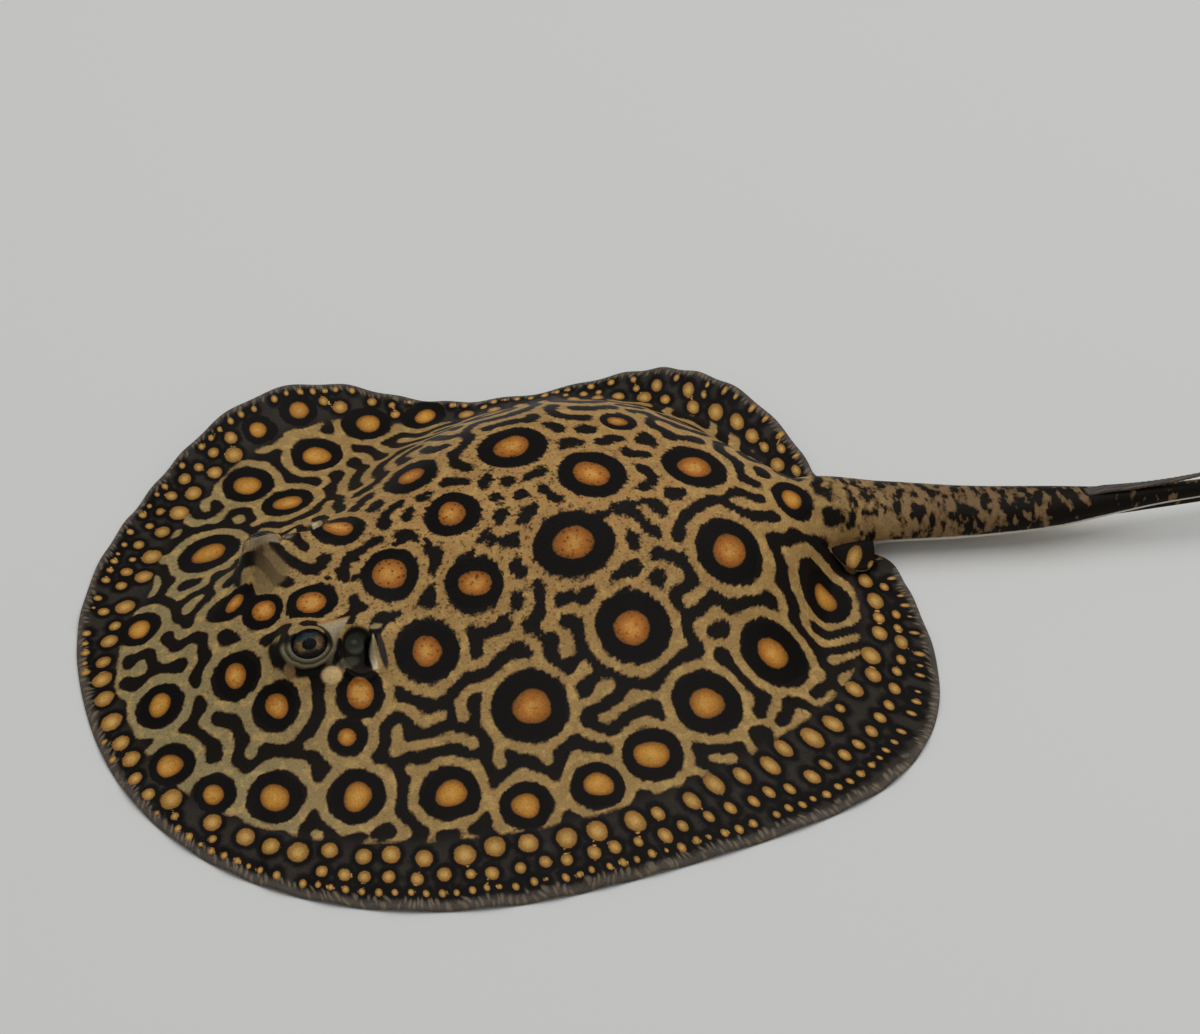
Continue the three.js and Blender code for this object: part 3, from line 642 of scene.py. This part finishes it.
# The eye spots: ring is 0 at the orange centre's edge, 1 at the black ring's edge and larger beyond it
ring = np.full(count, 2.0)
swayed = place + sway(place, 3)
for x, y, centre, outer, stretch in EYE_SPOTS:
    z = place[np.hypot(place[:, 0] - x, place[:, 1] - y) < 1.5, 2].max()
    away = np.sqrt(((swayed[:, 0] - x) / stretch)**2 + (swayed[:, 1] - y)**2 + (place[:, 2] - z)**2)
    ring = np.minimum(ring, (away - centre) / (outer - centre))

# The net: worm is -1 in the tan and 1 in the dark. It grows dark inside the rings, tan round them, and
# tanner over the crown. The tail darkens to the rear, the sides first, and the margin is dark throughout.
flat_x, flat_y = np.meshgrid(FIELD_X, FIELD_Y, indexing="ij")
beyond = np.full(flat_x.shape, 50.0)
for x, y, _, outer, stretch in EYE_SPOTS:
    beyond = np.minimum(beyond, np.hypot((flat_x - x) / stretch, flat_y - y) - outer)
halo = np.clip(1 - abs(beyond - HALO) / HALO, 0, 1)
crown = bell(flat_x, 12, 62) * bell(flat_y, 6, 36)
net = grow_net(5, np.where(beyond < 0, 1, -halo), -0.24 * crown)
worm = sample(net, place[:, 0], place[:, 1])

from_tail = place[:, 1] - through(TAIL_Y, place[:, 0])
round_tail = np.arctan2(from_tail, place[:, 2] - through(TAIL_Z, place[:, 0]))
dusk = -0.3 + 1.9 * smooth(130, 176, place[:, 0]) * (0.5 + 0.5 * smooth(0.4, 1.6, abs(round_tail)))
worm += (dusk - worm) * tail
along_margin = abs(arc) / MARGIN_LENGTH
first_row = np.where(arc < 0, through(FIRST_ROW[-1], along_margin), through(FIRST_ROW[1], along_margin))
beyond_rows = depth - first_row
worm = np.clip(worm + 2.4 * (1 - smooth(1.5, 5.5, beyond_rows)), -1, 1)
on_pelvic = abs(depth - PELVIC_MARK) < 0.5
worm[on_pelvic] = 1

# The small spots: dots is the distance outside the nearest one, and dot_place the place in its radii
dots = np.full(count, 4.0)
dot_place = np.full((count, 3), 4.0) * [1, 1, 0]
draw = np.random.default_rng(11)
taken = np.array([[x, y, outer - SPOT_GAP] for x, y, _, outer, _ in EYE_SPOTS])


def put_spot(where, centre, heading, size, stretch):
    """One ellipse, long along its heading, put on some vertices: the distance outside it,
    radius * (length of the place in its radii) - radius, and that place, where no other spot is closer."""
    away = place[where, :2] - centre
    ahead, beside = away @ heading / stretch, away @ [heading[1], -heading[0]]
    reach = np.hypot(ahead, beside) - size
    closer = reach < dots[where]
    dots[where[closer]] = reach[closer]
    dot_place[where[closer], :2] = np.stack([ahead, beside], 1)[closer] / size


for row in SPOT_ROWS:
    steps = int(ROWS_END * MARGIN_LENGTH / row["spacing"])
    for side in (-1, 1):
        strip = np.flatnonzero((over > 0.5) & (beyond_rows < 7) & (place[:, 1] * side > -6))
        s = ROWS_END * (np.arange(steps) + 0.5 + draw.uniform(-0.16, 0.16, steps)) / steps
        on_margin = np.stack(margin(s, side)[:2], 1)
        inward = np.stack([through(ROOT_X, s), side * through(ROOT_Y, s)], 1) - on_margin
        inward /= np.linalg.norm(inward, axis=1)[:, None]
        deep = row["part"] * through(FIRST_ROW[side], s) * draw.uniform(0.93, 1.07, steps)
        centres = on_margin + inward * deep[:, None]
        sideways = np.stack([0.5 * smooth(105, 60, centres[:, 0]), side + 0 * s], 1)
        drawn = smooth(*row["drawn"], s)
        turned = drawn * row["turned"]
        heading = inward * (1 - turned)[:, None] - sideways * turned[:, None]
        heading /= np.linalg.norm(heading, axis=1)[:, None]
        stretch = row["stretch"] + row["longer"] * drawn
        sizes = row["radius"] * draw.uniform(0.8, 1.12, steps) * (1 - 0.12 * drawn)
        for centre, way, size, long in zip(centres, heading, sizes, stretch):
            room = ((np.hypot(*(taken[:, :2] - centre).T) - taken[:, 2]).min() - SPOT_GAP) / long
            if room > LEAST_ROOM * size:
                size = min(size, room)
                taken = np.vstack([taken, [*centre, size * (0.5 + 0.5 * long)]])
                put_spot(strip, centre, way, size, long)
for x, out, size, stretch in PELVIC_SPOTS:
    for side in (-1, 1):
        fin = np.flatnonzero(on_pelvic & (over > 0.5) & (place[:, 1] * side > 0))
        put_spot(fin, np.array([x, side * out]), np.array(PELVIC_HEADING) * [1, side], size, stretch)

# Where the hide is freckled, where it turns duller towards the tail, and where the tan turns warmer
freckled = bell(place[:, 0], -12, 75) * bell(place[:, 1], 2, 45)
dull = smooth(72, 138, place[:, 0]) * (1 - smooth(13, 24, abs(from_tail)))
flush = bell(place[:, 0], 15, 70) * bell(place[:, 1], 4, 42)

mesh.vertices.foreach_set("co", (place * MM).ravel())
for name, values in (("ring", ring), ("worm", worm), ("flush", flush), ("dots", dots),
                     ("beyond_rows", beyond_rows), ("freckled", freckled), ("dull", dull)):
    mesh.attributes.new(name, "FLOAT", "POINT").data.foreach_set("value", values)
mesh.attributes.new("paint", "FLOAT_COLOR", "POINT").data.foreach_set("color", paint.ravel())
mesh.attributes.new("dot_place", "FLOAT_VECTOR", "POINT").data.foreach_set("vector", dot_place.ravel())
mesh.polygons.foreach_set("use_smooth", np.ones(len(mesh.polygons), bool))
mesh.update()
skin = bpy.data.objects.new("ray_skin", mesh)
bpy.context.scene.collection.objects.link(skin)
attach(skin, "root")
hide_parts("head", "trunk", "pectoral_fin_left", "pectoral_fin_right", "pelvic_fin_left",
            "pelvic_fin_right", "tail_base", "tail_middle", "tail_tip", "tail_fold_upper",
            "tail_fold_lower")


def node(tree, kind, sockets, output=0, **settings):
    """Adds a shader node, sets its settings, and gives each of its sockets a value or a link. Returns one
    of its outputs."""
    made = tree.nodes.new("ShaderNode" + kind)
    for name, value in settings.items():
        setattr(made, name, value)
    for name, value in sockets.items():
        if isinstance(value, bpy.types.NodeSocket):
            tree.links.new(value, made.inputs[name])
        else:
            made.inputs[name].default_value = value
    return made.outputs[output]


def attribute(tree, name, output="Fac"):
    """A value that the mesh carries, or a colour or a vector."""
    return node(tree, "Attribute", {}, output, attribute_name=name)


def maths(tree, operation, a, b=0.0, c=0.0):
    """One step of arithmetic on single values; MULTIPLY_ADD is a * b + c."""
    return node(tree, "Math", {0: a, 1: b, 2: c}, operation=operation)


def step(tree, value, low, high):
    """0 at low, 1 at high, and a soft S between; low may be the larger of the two."""
    return node(tree, "MapRange", {"Value": value, "From Min": low, "From Max": high},
                interpolation_type="SMOOTHSTEP")


def blend(tree, factor, a, b, how="MIX"):
    """Colour a turned into colour b by the factor."""
    made = tree.nodes.new("ShaderNodeMix")
    made.data_type = "RGBA"
    made.blend_type = how
    for socket, value in ((0, factor), (6, a), (7, b)):
        if isinstance(value, bpy.types.NodeSocket):
            tree.links.new(value, made.inputs[socket])
        else:
            made.inputs[socket].default_value = value
    return made.outputs[2]


def new_material(name, **sockets):
    """A material with the given numbers on its Principled shader. Returns it, its tree and the shader."""
    made = bpy.data.materials.new(name)
    made.use_nodes = True
    shader = made.node_tree.nodes["Principled BSDF"]
    for socket, value in sockets.items():
        shader.inputs[socket.replace("_", " ")].default_value = value
    return made, made.node_tree, shader


# The net's tan on the body, snout, crown and tail, its light patches and its dark edges; the dark ground
# on the body and at the margin; the eye spots; the margin's spots; the fringe; freckles; the underside
TAN = tint("#ab8a55")
TAN_SNOUT = tint("#998a60")
TAN_CROWN = tint("#bc8f55")
TAN_TAIL = tint("#84694a")
TAN_BRIGHT = tint("#c8a563")
TAN_SHADE = tint("#6b5233")
GROUND = tint("#19140f")
BAND_GROUND = tint("#37312b")
RING = tint("#100d0a")
CENTRE = tint("#bb722b")
CENTRE_OUTER = tint("#c68a33")
CENTRE_GLOW = tint("#dea351")
CENTRE_EDGE = tint("#8f5a26")
SPOT_MIDDLE = tint("#d8ac60")
SPOT_EDGE = tint("#a07032")
FINGER = tint("#8f8069")
FRINGE = tint("#5e554d")
FRECKLE = tint("#8f6f50")
BELLY = tint("#d9d0c0")
BELLY_EDGE = tint("#8a807a")
OPENING = tint("#6e5148")

skin_material, tree, shader = new_material("wet_hide", Roughness=0.46, Specular_IOR_Level=0.07)
here = node(tree, "TexCoord", {}, "Object")
arc_at, depth_at, tail_at, ring_at, worm_at, flush_at, dots_at = (
    attribute(tree, name) for name in ("arc", "depth", "tail", "ring", "worm", "flush", "dots"))

# Noise that frays every edge: a coarse wobble and a fine one
wobble = node(tree, "TexNoise", {"Vector": here, "Scale": 0.45 / MM, "Detail": 2.5, "Roughness": 0.6})
wobble = maths(tree, "SUBTRACT", wobble, 0.5)
fray = node(tree, "TexNoise", {"Vector": here, "Scale": 1.6 / MM, "Detail": 1.5})
fray = maths(tree, "SUBTRACT", fray, 0.5)
edge = maths(tree, "ADD", maths(tree, "MULTIPLY", wobble, 1.5), maths(tree, "MULTIPLY", fray, 0.7))

# The net's tan, the dark ground, and the two laid out by the net
patches = node(tree, "TexNoise", {"Vector": here, "Scale": 0.33 / MM, "Detail": 3.0, "Roughness": 0.6})
along = maths(tree, "MULTIPLY", node(tree, "SeparateXYZ", {0: here}, "X"), 1 / MM)
net_tan = blend(tree, flush_at, blend(tree, step(tree, along, -30, -95), TAN, TAN_SNOUT), TAN_CROWN)
net_tan = blend(tree, maths(tree, "MULTIPLY", step(tree, patches, 0.48, 0.66), 0.8), net_tan, TAN_BRIGHT)
net_tan = blend(tree, attribute(tree, "dull"), net_tan, TAN_TAIL)
beside_dots = step(tree, maths(tree, "MULTIPLY_ADD", wobble, 1.5, dots_at), 0.8, 2.2)
band_ground = blend(tree, beside_dots, RING, BAND_GROUND)
ground = blend(tree, step(tree, attribute(tree, "beyond_rows"), 7, 0), GROUND, band_ground)
fraying = maths(tree, "MULTIPLY", edge, maths(tree, "MULTIPLY_ADD", flush_at, 1.6, 0.8))
# On the tail the net breaks up into blotches, higher than long
blotches = node(tree, "Mapping", {"Vector": here, "Scale": (0.36 / MM, 0.2 / MM, 0.2 / MM)})
blotches = node(tree, "TexNoise", {"Vector": blotches, "Scale": 1.0, "Detail": 2.5})
blotches = maths(tree, "MULTIPLY", maths(tree, "SUBTRACT", blotches, 0.5), 7.0)
fraying = maths(tree, "MULTIPLY_ADD", blotches, tail_at, fraying)
frayed = maths(tree, "ADD", worm_at, fraying)
net_tan = blend(tree, step(tree, frayed, -0.75, -0.1), net_tan, TAN_SHADE)
dark = step(tree, frayed, -0.2, 0.2)
colour = blend(tree, dark, net_tan, ground)

# The fringe at the margin, with pale fingers 1.7 mm apart that reach in from it
rim = step(tree, maths(tree, "MULTIPLY_ADD", edge, 1.6, depth_at), 3.2, 0.6)
colour = blend(tree, rim, colour, FRINGE)
drift = maths(tree, "SUBTRACT", node(tree, "TexNoise", {"Vector": here, "Scale": 0.07 / MM}), 0.5)
row_arc = maths(tree, "MULTIPLY_ADD", drift, 12.0, arc_at)
fingers = node(tree, "CombineXYZ", {"X": maths(tree, "DIVIDE", row_arc, 1.7),
                                    "Y": maths(tree, "DIVIDE", depth_at, 5.0)})
fingers = node(tree, "TexVoronoi", {"Vector": fingers, "Scale": 1.0, "Randomness": 0.7},
               voronoi_dimensions="2D")
fingers = maths(tree, "MULTIPLY", step(tree, maths(tree, "MULTIPLY_ADD", edge, 0.15, fingers), 0.4, 0.1),
                step(tree, depth_at, 4.2, 2.6))
colour = blend(tree, maths(tree, "MULTIPLY", fingers, 0.6), colour, FINGER)

# The small spots, from the distance to the middle of the nearest in its radii
dot_at = attribute(tree, "dot_place", "Vector")
dot_from = node(tree, "VectorMath", {0: dot_at}, "Value", operation="LENGTH")
dot = blend(tree, step(tree, dot_from, 0.1, 0.95), SPOT_MIDDLE, SPOT_EDGE)
dot_edge = step(tree, maths(tree, "MULTIPLY_ADD", edge, 0.2, dot_from), 1.08, 0.9)
dot_edge = maths(tree, "MULTIPLY", dot_edge, step(tree, dots_at, 0.32, 0.14))
colour = blend(tree, dot_edge, colour, dot)

# The eye spots: the black ring, then the orange centre, brightest in its middle and brown at its edge
ring_edge = maths(tree, "MULTIPLY_ADD", edge, 0.4, ring_at)
colour = blend(tree, step(tree, ring_edge, 1.08, 0.92), colour, RING)
centre = blend(tree, step(tree, depth_at, 62, 34), CENTRE, CENTRE_OUTER)
centre = blend(tree, step(tree, ring_edge, -0.3, -1.0), centre, CENTRE_GLOW)
centre = blend(tree, step(tree, ring_at, -0.45, 0.02), centre, CENTRE_EDGE)
centre_edge = maths(tree, "MULTIPLY_ADD", edge, 0.1, ring_at)
colour = blend(tree, step(tree, centre_edge, 0.07, -0.07), colour, centre)

# Freckles, the paint of the lids and spiracles with its painted shade and highlights, and a mottle and a
# grain over all of it
freckles = node(tree, "TexVoronoi", {"Vector": here, "Scale": 0.72 / MM})
freckles = maths(tree, "MULTIPLY_ADD", wobble, -0.5, freckles)
freckles = maths(tree, "MULTIPLY", step(tree, freckles, 0.38, 0.12),
                 maths(tree, "MULTIPLY_ADD", attribute(tree, "freckled"), 0.75, 0.1))
colour = blend(tree, freckles, colour, FRECKLE, "MULTIPLY")
colour = blend(tree, attribute(tree, "paint", "Alpha"), colour, attribute(tree, "paint", "Color"))
mottle = node(tree, "TexNoise", {"Vector": here, "Scale": 0.12 / MM, "Detail": 4.0})
grain = node(tree, "TexNoise", {"Vector": here, "Scale": 2.2 / MM, "Detail": 2.0})
light = maths(tree, "ADD", maths(tree, "MULTIPLY", mottle, 0.6), maths(tree, "MULTIPLY", grain, 0.9))
light = maths(tree, "ADD", light, 0.25)
light = node(tree, "CombineColor", {"Red": light, "Green": light, "Blue": light})
colour = blend(tree, 1.0, colour, light, "MULTIPLY")

# The belly: pale in the middle and grey brown towards the margin
shaded = step(tree, maths(tree, "MULTIPLY_ADD", wobble, 14.0, depth_at), 26, 8)
belly = blend(tree, shaded, BELLY, BELLY_EDGE)
aside = maths(tree, "ABSOLUTE", maths(tree, "MULTIPLY", node(tree, "SeparateXYZ", {0: here}, "Y"), 1 / MM))


def opening(x, y, half_x, half_y):
    """1 inside an ellipse round x = 0, y = 0 and 0 outside, from two values in the material: a soft step
    of the length of (x / half_x, y / half_y)."""
    place_in = node(tree, "CombineXYZ", {"X": maths(tree, "DIVIDE", x, half_x),
                                         "Y": maths(tree, "DIVIDE", y, half_y)})
    return step(tree, node(tree, "VectorMath", {0: place_in}, "Value", operation="LENGTH"), 1.15, 0.7)


# The mouth, a nostril on each side before it, five gill slits on each side at 8 mm, and the vent
bow = maths(tree, "MULTIPLY", maths(tree, "POWER", aside, 2.0), -0.014)
mouth = opening(maths(tree, "ADD", maths(tree, "ADD", along, 84.0), bow), aside, 0.9, 11.5)
nostril = opening(maths(tree, "ADD", along, 91.0), maths(tree, "SUBTRACT", aside, 7.0), 1.5, 2.6)
gill_y = maths(tree, "ADD", aside, maths(tree, "MULTIPLY_ADD", along, 0.156, -14.6))
gill_x = maths(tree, "SUBTRACT", maths(tree, "WRAP", along, -64.0, -56.0), -60.0)
gill_x = maths(tree, "SUBTRACT", gill_x, maths(tree, "MULTIPLY", maths(tree, "POWER", gill_y, 2.0), 0.06))
gills = opening(gill_x, gill_y, 0.7, 3.6)
gills = maths(tree, "MULTIPLY", gills, maths(tree, "COMPARE", along, -44.0, 20.0))
vent = opening(maths(tree, "ADD", along, -83.0), aside, 3.2, 1.2)
for mark in (mouth, nostril, gills, vent):
    belly = blend(tree, mark, belly, OPENING)
flank_edge = maths(tree, "MULTIPLY", tail_at, 0.3)
flank_edge = maths(tree, "MULTIPLY_ADD", edge, flank_edge, attribute(tree, "over"))
colour = blend(tree, step(tree, flank_edge, 0.2, 0.7), belly, colour)
tree.links.new(colour, shader.inputs["Base Color"])
relief = maths(tree, "ADD", maths(tree, "MULTIPLY", grain, 0.5), maths(tree, "MULTIPLY", fray, 0.6))
bump = node(tree, "Bump", {"Height": relief, "Strength": 0.35, "Distance": 0.35 * MM})
tree.links.new(bump, shader.inputs["Normal"])
mesh.materials.append(skin_material)

# ------------------------------------------------------------------------------------------------
# Eyes: a globe of 11 mm deep in each lid fold, with a streaked iris round an oval pupil, its top in painted
# shade with a painted blue reflection, under a clear cornea. The globe shows only between the lids.
# ------------------------------------------------------------------------------------------------
# From the middle of the pupil out over the iris: half width along the body, half width across, height
# over the globe's centre
FRONT = [[0, 0, 3.1], [0.9, 0.65, 3.1], [1.5, 1.1, 3.15], [1.75, 1.3, 3.3], [1.8, 1.35, 3.85],
         [2.0, 1.55, 4.0], [2.8, 2.4, 3.95], [3.5, 3.2, 3.7], [4.2, 4.1, 3.35]]
PUPIL_HALF = [1.8, 1.35]
IRIS_HALF = 4.5
CORNEA_FOOT = 2.6
CORNEA_HALF = 4.9
CORNEA_RISE = 3.3
CORNEA_WALL = 0.2


def turned_grid(profile, axes, centre):
    """A profile of [half width along the body, half width across, height] carried round an axis:
    u = half width * cos(angle), v = half width * sin(angle). Gives the points, and their u, v, height."""
    angle = np.linspace(0, 2 * math.pi, 65)[:-1]
    own = np.stack([profile[:, :1] * np.cos(angle), profile[:, 1:2] * np.sin(angle),
                    profile[:, 2:] + 0 * angle], -1)
    return own @ axes + centre, own


def closed_mesh(name, grid, shades=None):
    """A mesh from a grid whose columns wrap round and whose first and last rows are points, with a colour
    at each vertex if shades are given."""
    rows, columns = grid.shape[:2]
    wrapped = np.concatenate([grid, grid[:, :1]], 1)
    made = bpy.data.meshes.new(name)
    made.from_pydata((wrapped.reshape(-1, 3) * MM).tolist(), [], grid_faces(rows, columns + 1).tolist())
    if shades is not None:
        shades = np.concatenate([shades, shades[:, :1]], 1).reshape(-1, 4)
        made.attributes.new("shade", "FLOAT_COLOR", "POINT").data.foreach_set("color", shades.ravel())
    body = bmesh.new()
    body.from_mesh(made)
    bmesh.ops.remove_doubles(body, verts=body.verts, dist=WELD)
    bmesh.ops.recalc_face_normals(body, faces=body.faces)
    body.to_mesh(made)
    body.free()
    made.polygons.foreach_set("use_smooth", np.ones(len(made.polygons), bool))
    made.update()
    return made


IRIS = tint("#26241e")
IRIS_FLANK = tint("#8f7048")
IRIS_FLECK = tint("#b88b58")
# the iris's top, dark blue grey: painted shade under the upper lid with a painted blue reflection over it
IRIS_TOP_SHADE_AND_REFLECTION = tint("#2d3940")
IRIS_EDGE = tint("#141517")
PUPIL_EDGE = tint("#7d775f")
PUPIL = tint("#020202")

iris_material, tree, shader = new_material("iris", Roughness=0.5, Specular_IOR_Level=0.0)
tree.links.new(attribute(tree, "shade", "Color"), shader.inputs["Base Color"])
clear_material, tree, shader = new_material("cornea", Roughness=0.03, IOR=1.15, Transmission_Weight=1.0)
# The cornea throws no shadow on the iris
shadow = node(tree, "LightPath", {}, "Is Shadow Ray")
see_through = node(tree, "BsdfTransparent", {})
surface = node(tree, "MixShader", {0: shadow, 1: shader.outputs[0], 2: see_through})
tree.links.new(surface, tree.nodes["Material Output"].inputs["Surface"])

for side, side_name in SIDE_NAMES.items():
    axes = own_axes(EYE_AXIS, side)
    centre = EYE_PLACES[side]
    turn = np.linspace(math.asin(IRIS_HALF / GLOBE), math.pi, 22)
    behind = np.stack([GLOBE * np.sin(turn), GLOBE * np.sin(turn), GLOBE * np.cos(turn)], 1)
    grid, own = turned_grid(np.concatenate([np.array(FRONT), behind]), axes, centre)
    reach = np.hypot(own[..., 0] / PUPIL_HALF[0], own[..., 1] / PUPIL_HALF[1])
    angle = np.arctan2(own[..., 1], own[..., 0])
    streaks = 0.5 + 0.3 * np.sin(5 * angle + 6 * reach + 1) + 0.2 * np.sin(9 * angle - 7 * reach)
    flecks = smooth(0.1, 0.8, np.sin(11 * angle + 9 * reach) * np.sin(19 * angle - 14 * reach + 1))
    flank = smooth(0.6, 0.97, abs(np.cos(angle))) * smooth(2.3, 1.3, reach)
    shades = np.zeros((*reach.shape, 4)) + IRIS
    for colour, amount in ((IRIS_FLANK, flank * (0.1 + 0.9 * streaks)),
                           (IRIS_FLECK, flecks * flank * 0.6),
                           # painted shade and painted reflection over the iris's top
                           (IRIS_TOP_SHADE_AND_REFLECTION, smooth(0.3, 0.8, np.sin(angle))),
                           (IRIS_EDGE, smooth(2.0, 2.4, reach)),
                           (PUPIL_EDGE, bell(reach, 1.2, 0.1) * (0.1 + 0.4 * abs(np.cos(angle)))),
                           (PUPIL, 1 - smooth(0.98, 1.06, reach))):
        shades = shades + (np.array(colour) - shades) * amount[..., None]
    globe = bpy.data.objects.new(f"eyeball_{side_name}", closed_mesh(f"eyeball_{side_name}", grid, shades))
    globe.data.materials.append(iris_material)
    dome = np.linspace(0, math.pi / 2, 15)
    cap = np.stack([CORNEA_HALF * np.sin(dome), CORNEA_HALF * np.sin(dome),
                    CORNEA_FOOT + CORNEA_RISE * np.cos(dome)], 1)
    under = CORNEA_FOOT - CORNEA_WALL
    cap = np.concatenate([cap, [[3, 3, under], [0, 0, under]]])
    cap_mesh = closed_mesh(f"cornea_{side_name}", turned_grid(cap, axes, centre)[0])
    cornea = bpy.data.objects.new(f"cornea_{side_name}", cap_mesh)
    cornea.data.materials.append(clear_material)
    for piece in (globe, cornea):
        bpy.context.scene.collection.objects.link(piece)
        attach(piece, "root")
        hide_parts(f"eye_{side_name}")

# ------------------------------------------------------------------------------------------------
# Sting: a flat spine of dentine on top of the tail, grooved along its back and toothed along both
# edges, with the teeth turned towards the body. It is held in the hide at its root and free behind.
# ------------------------------------------------------------------------------------------------
STING_START = 166.5
STING_END = 211.0
STING_WIDTH = 3.0
STING_THICKNESS = 1.4
STING_RISE = 4.2
STING_SAG = 1.2
STING_LIFT = 0.2  # keeps it on the hide and out of it
ROOT_SINK = 0.9   # its root lies this deep in the hide
TEETH = 24
DENTINE = tint("#2a231d")
DENTINE_STREAK = tint("#5b4a38")


def sting_grid():
    """The spine as rings round its length: half width times (1 - part)^0.6, notched by a saw wave, and a
    lens for a section, sin(turn)^0.8 high, with a groove on top. It follows the tail, or where that is
    higher, its own line: rise * part - sag * sin(pi * part)."""
    part, turn = np.meshgrid(np.linspace(0, 1, 6 * TEETH + 1), np.linspace(0, 2 * math.pi, 25)[:-1],
                             indexing="ij")
    x = STING_START + (STING_END - STING_START) * part
    saw = (part * TEETH) % 1 * smooth(0.25, 0.4, part) * smooth(1.0, 0.9, part)
    half = STING_WIDTH / 2 * ((1 - part)**0.6 + 0.04) * (1 - 0.24 * saw)
    across = half * np.cos(turn)
    thick = STING_THICKNESS * (0.25 + 0.75 * np.sqrt(1 - part)) / 2
    groove = 0.3 * thick * bell(across / half, 0, 0.25) * (np.sin(turn) > 0)
    seat = through(TAIL_Z, x) + through(TAIL_HALF_HEIGHT, x)
    root = through(TAIL_Z, STING_START) + through(TAIL_HALF_HEIGHT, STING_START)
    free = root + STING_RISE * part - STING_SAG * np.sin(math.pi * part)
    lens = abs(np.sin(turn))**0.8 * np.sign(np.sin(turn))
    z = np.maximum(seat, free) + STING_LIFT + thick * (0.6 + lens) - groove
    grid = np.stack([x, through(TAIL_Y, x) + across, z - ROOT_SINK * smooth(0.15, 0, part)], -1)
    for end in (0, -1):
        grid[end] = grid[end].mean(axis=0)
    return grid


sting_mesh = closed_mesh("sting", sting_grid())
sting_material, tree, shader = new_material("dentine", Roughness=0.42)
here = node(tree, "TexCoord", {}, "Object")
lengthwise = node(tree, "Mapping", {"Vector": here, "Scale": (120, 1400, 700)})
streak = node(tree, "TexNoise", {"Vector": lengthwise, "Scale": 1.0, "Detail": 3.0})
bone = blend(tree, step(tree, streak, 0.35, 0.68), DENTINE, DENTINE_STREAK)
tree.links.new(bone, shader.inputs["Base Color"])
bump = node(tree, "Bump", {"Height": streak, "Strength": 0.4, "Distance": 0.3 * MM})
tree.links.new(bump, shader.inputs["Normal"])
sting_mesh.materials.append(sting_material)
sting = bpy.data.objects.new("sting", sting_mesh)
bpy.context.scene.collection.objects.link(sting)
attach(sting, "root")
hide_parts("tail_sting")

# ------------------------------------------------------------------------------------------------
# Floor, light and camera: a plain pale floor under the ray, a soft overhead box and an even sky.
# ------------------------------------------------------------------------------------------------
FLOOR_HALF = 3.0
FLOOR_HEIGHT = -0.0002
floor_mesh = bpy.data.meshes.new("floor")
floor_mesh.from_pydata([(x * FLOOR_HALF, y * FLOOR_HALF, FLOOR_HEIGHT)
                        for x, y in ((-1, -1), (1, -1), (1, 1), (-1, 1))], [], [(0, 1, 2, 3)])
floor = bpy.data.objects.new("floor", floor_mesh)
bpy.context.scene.collection.objects.link(floor)
floor_material, tree, shader = new_material("floor", Roughness=0.9)
shader.inputs["Base Color"].default_value = (0.82, 0.82, 0.8, 1)
floor_mesh.materials.append(floor_material)

world = bpy.data.worlds.new("studio")
world.use_nodes = True
world.node_tree.nodes["Background"].inputs["Color"].default_value = (0.97, 0.98, 1, 1)
world.node_tree.nodes["Background"].inputs["Strength"].default_value = 0.23
bpy.context.scene.world = world
lamp_data = bpy.data.lights.new("key", "AREA")
lamp_data.energy = 43
lamp_data.size = 3.0
lamp = bpy.data.objects.new("key", lamp_data)
lamp.location = (0.6, 0.38, 2.5)
lamp.rotation_euler = (math.radians(-8), math.radians(13), 0)
bpy.context.scene.collection.objects.link(lamp)

camera_data = bpy.data.cameras.new("camera")
camera_data.lens = 78
camera_data.sensor_width = 36
camera_data.clip_start = 0.01
camera = bpy.data.objects.new("camera", camera_data)
stand = np.array([-131.1, -502.0, 518.2]) * MM
target = np.array([35.8, 28.0, 0]) * MM
camera.location = stand
camera.rotation_euler = (math.atan2(np.hypot(*(target - stand)[:2]), stand[2]), 0,
                         math.atan2(-(target - stand)[0], (target - stand)[1]))
bpy.context.scene.collection.objects.link(camera)
bpy.context.scene.camera = camera
bpy.context.scene.view_settings.view_transform = "Standard"
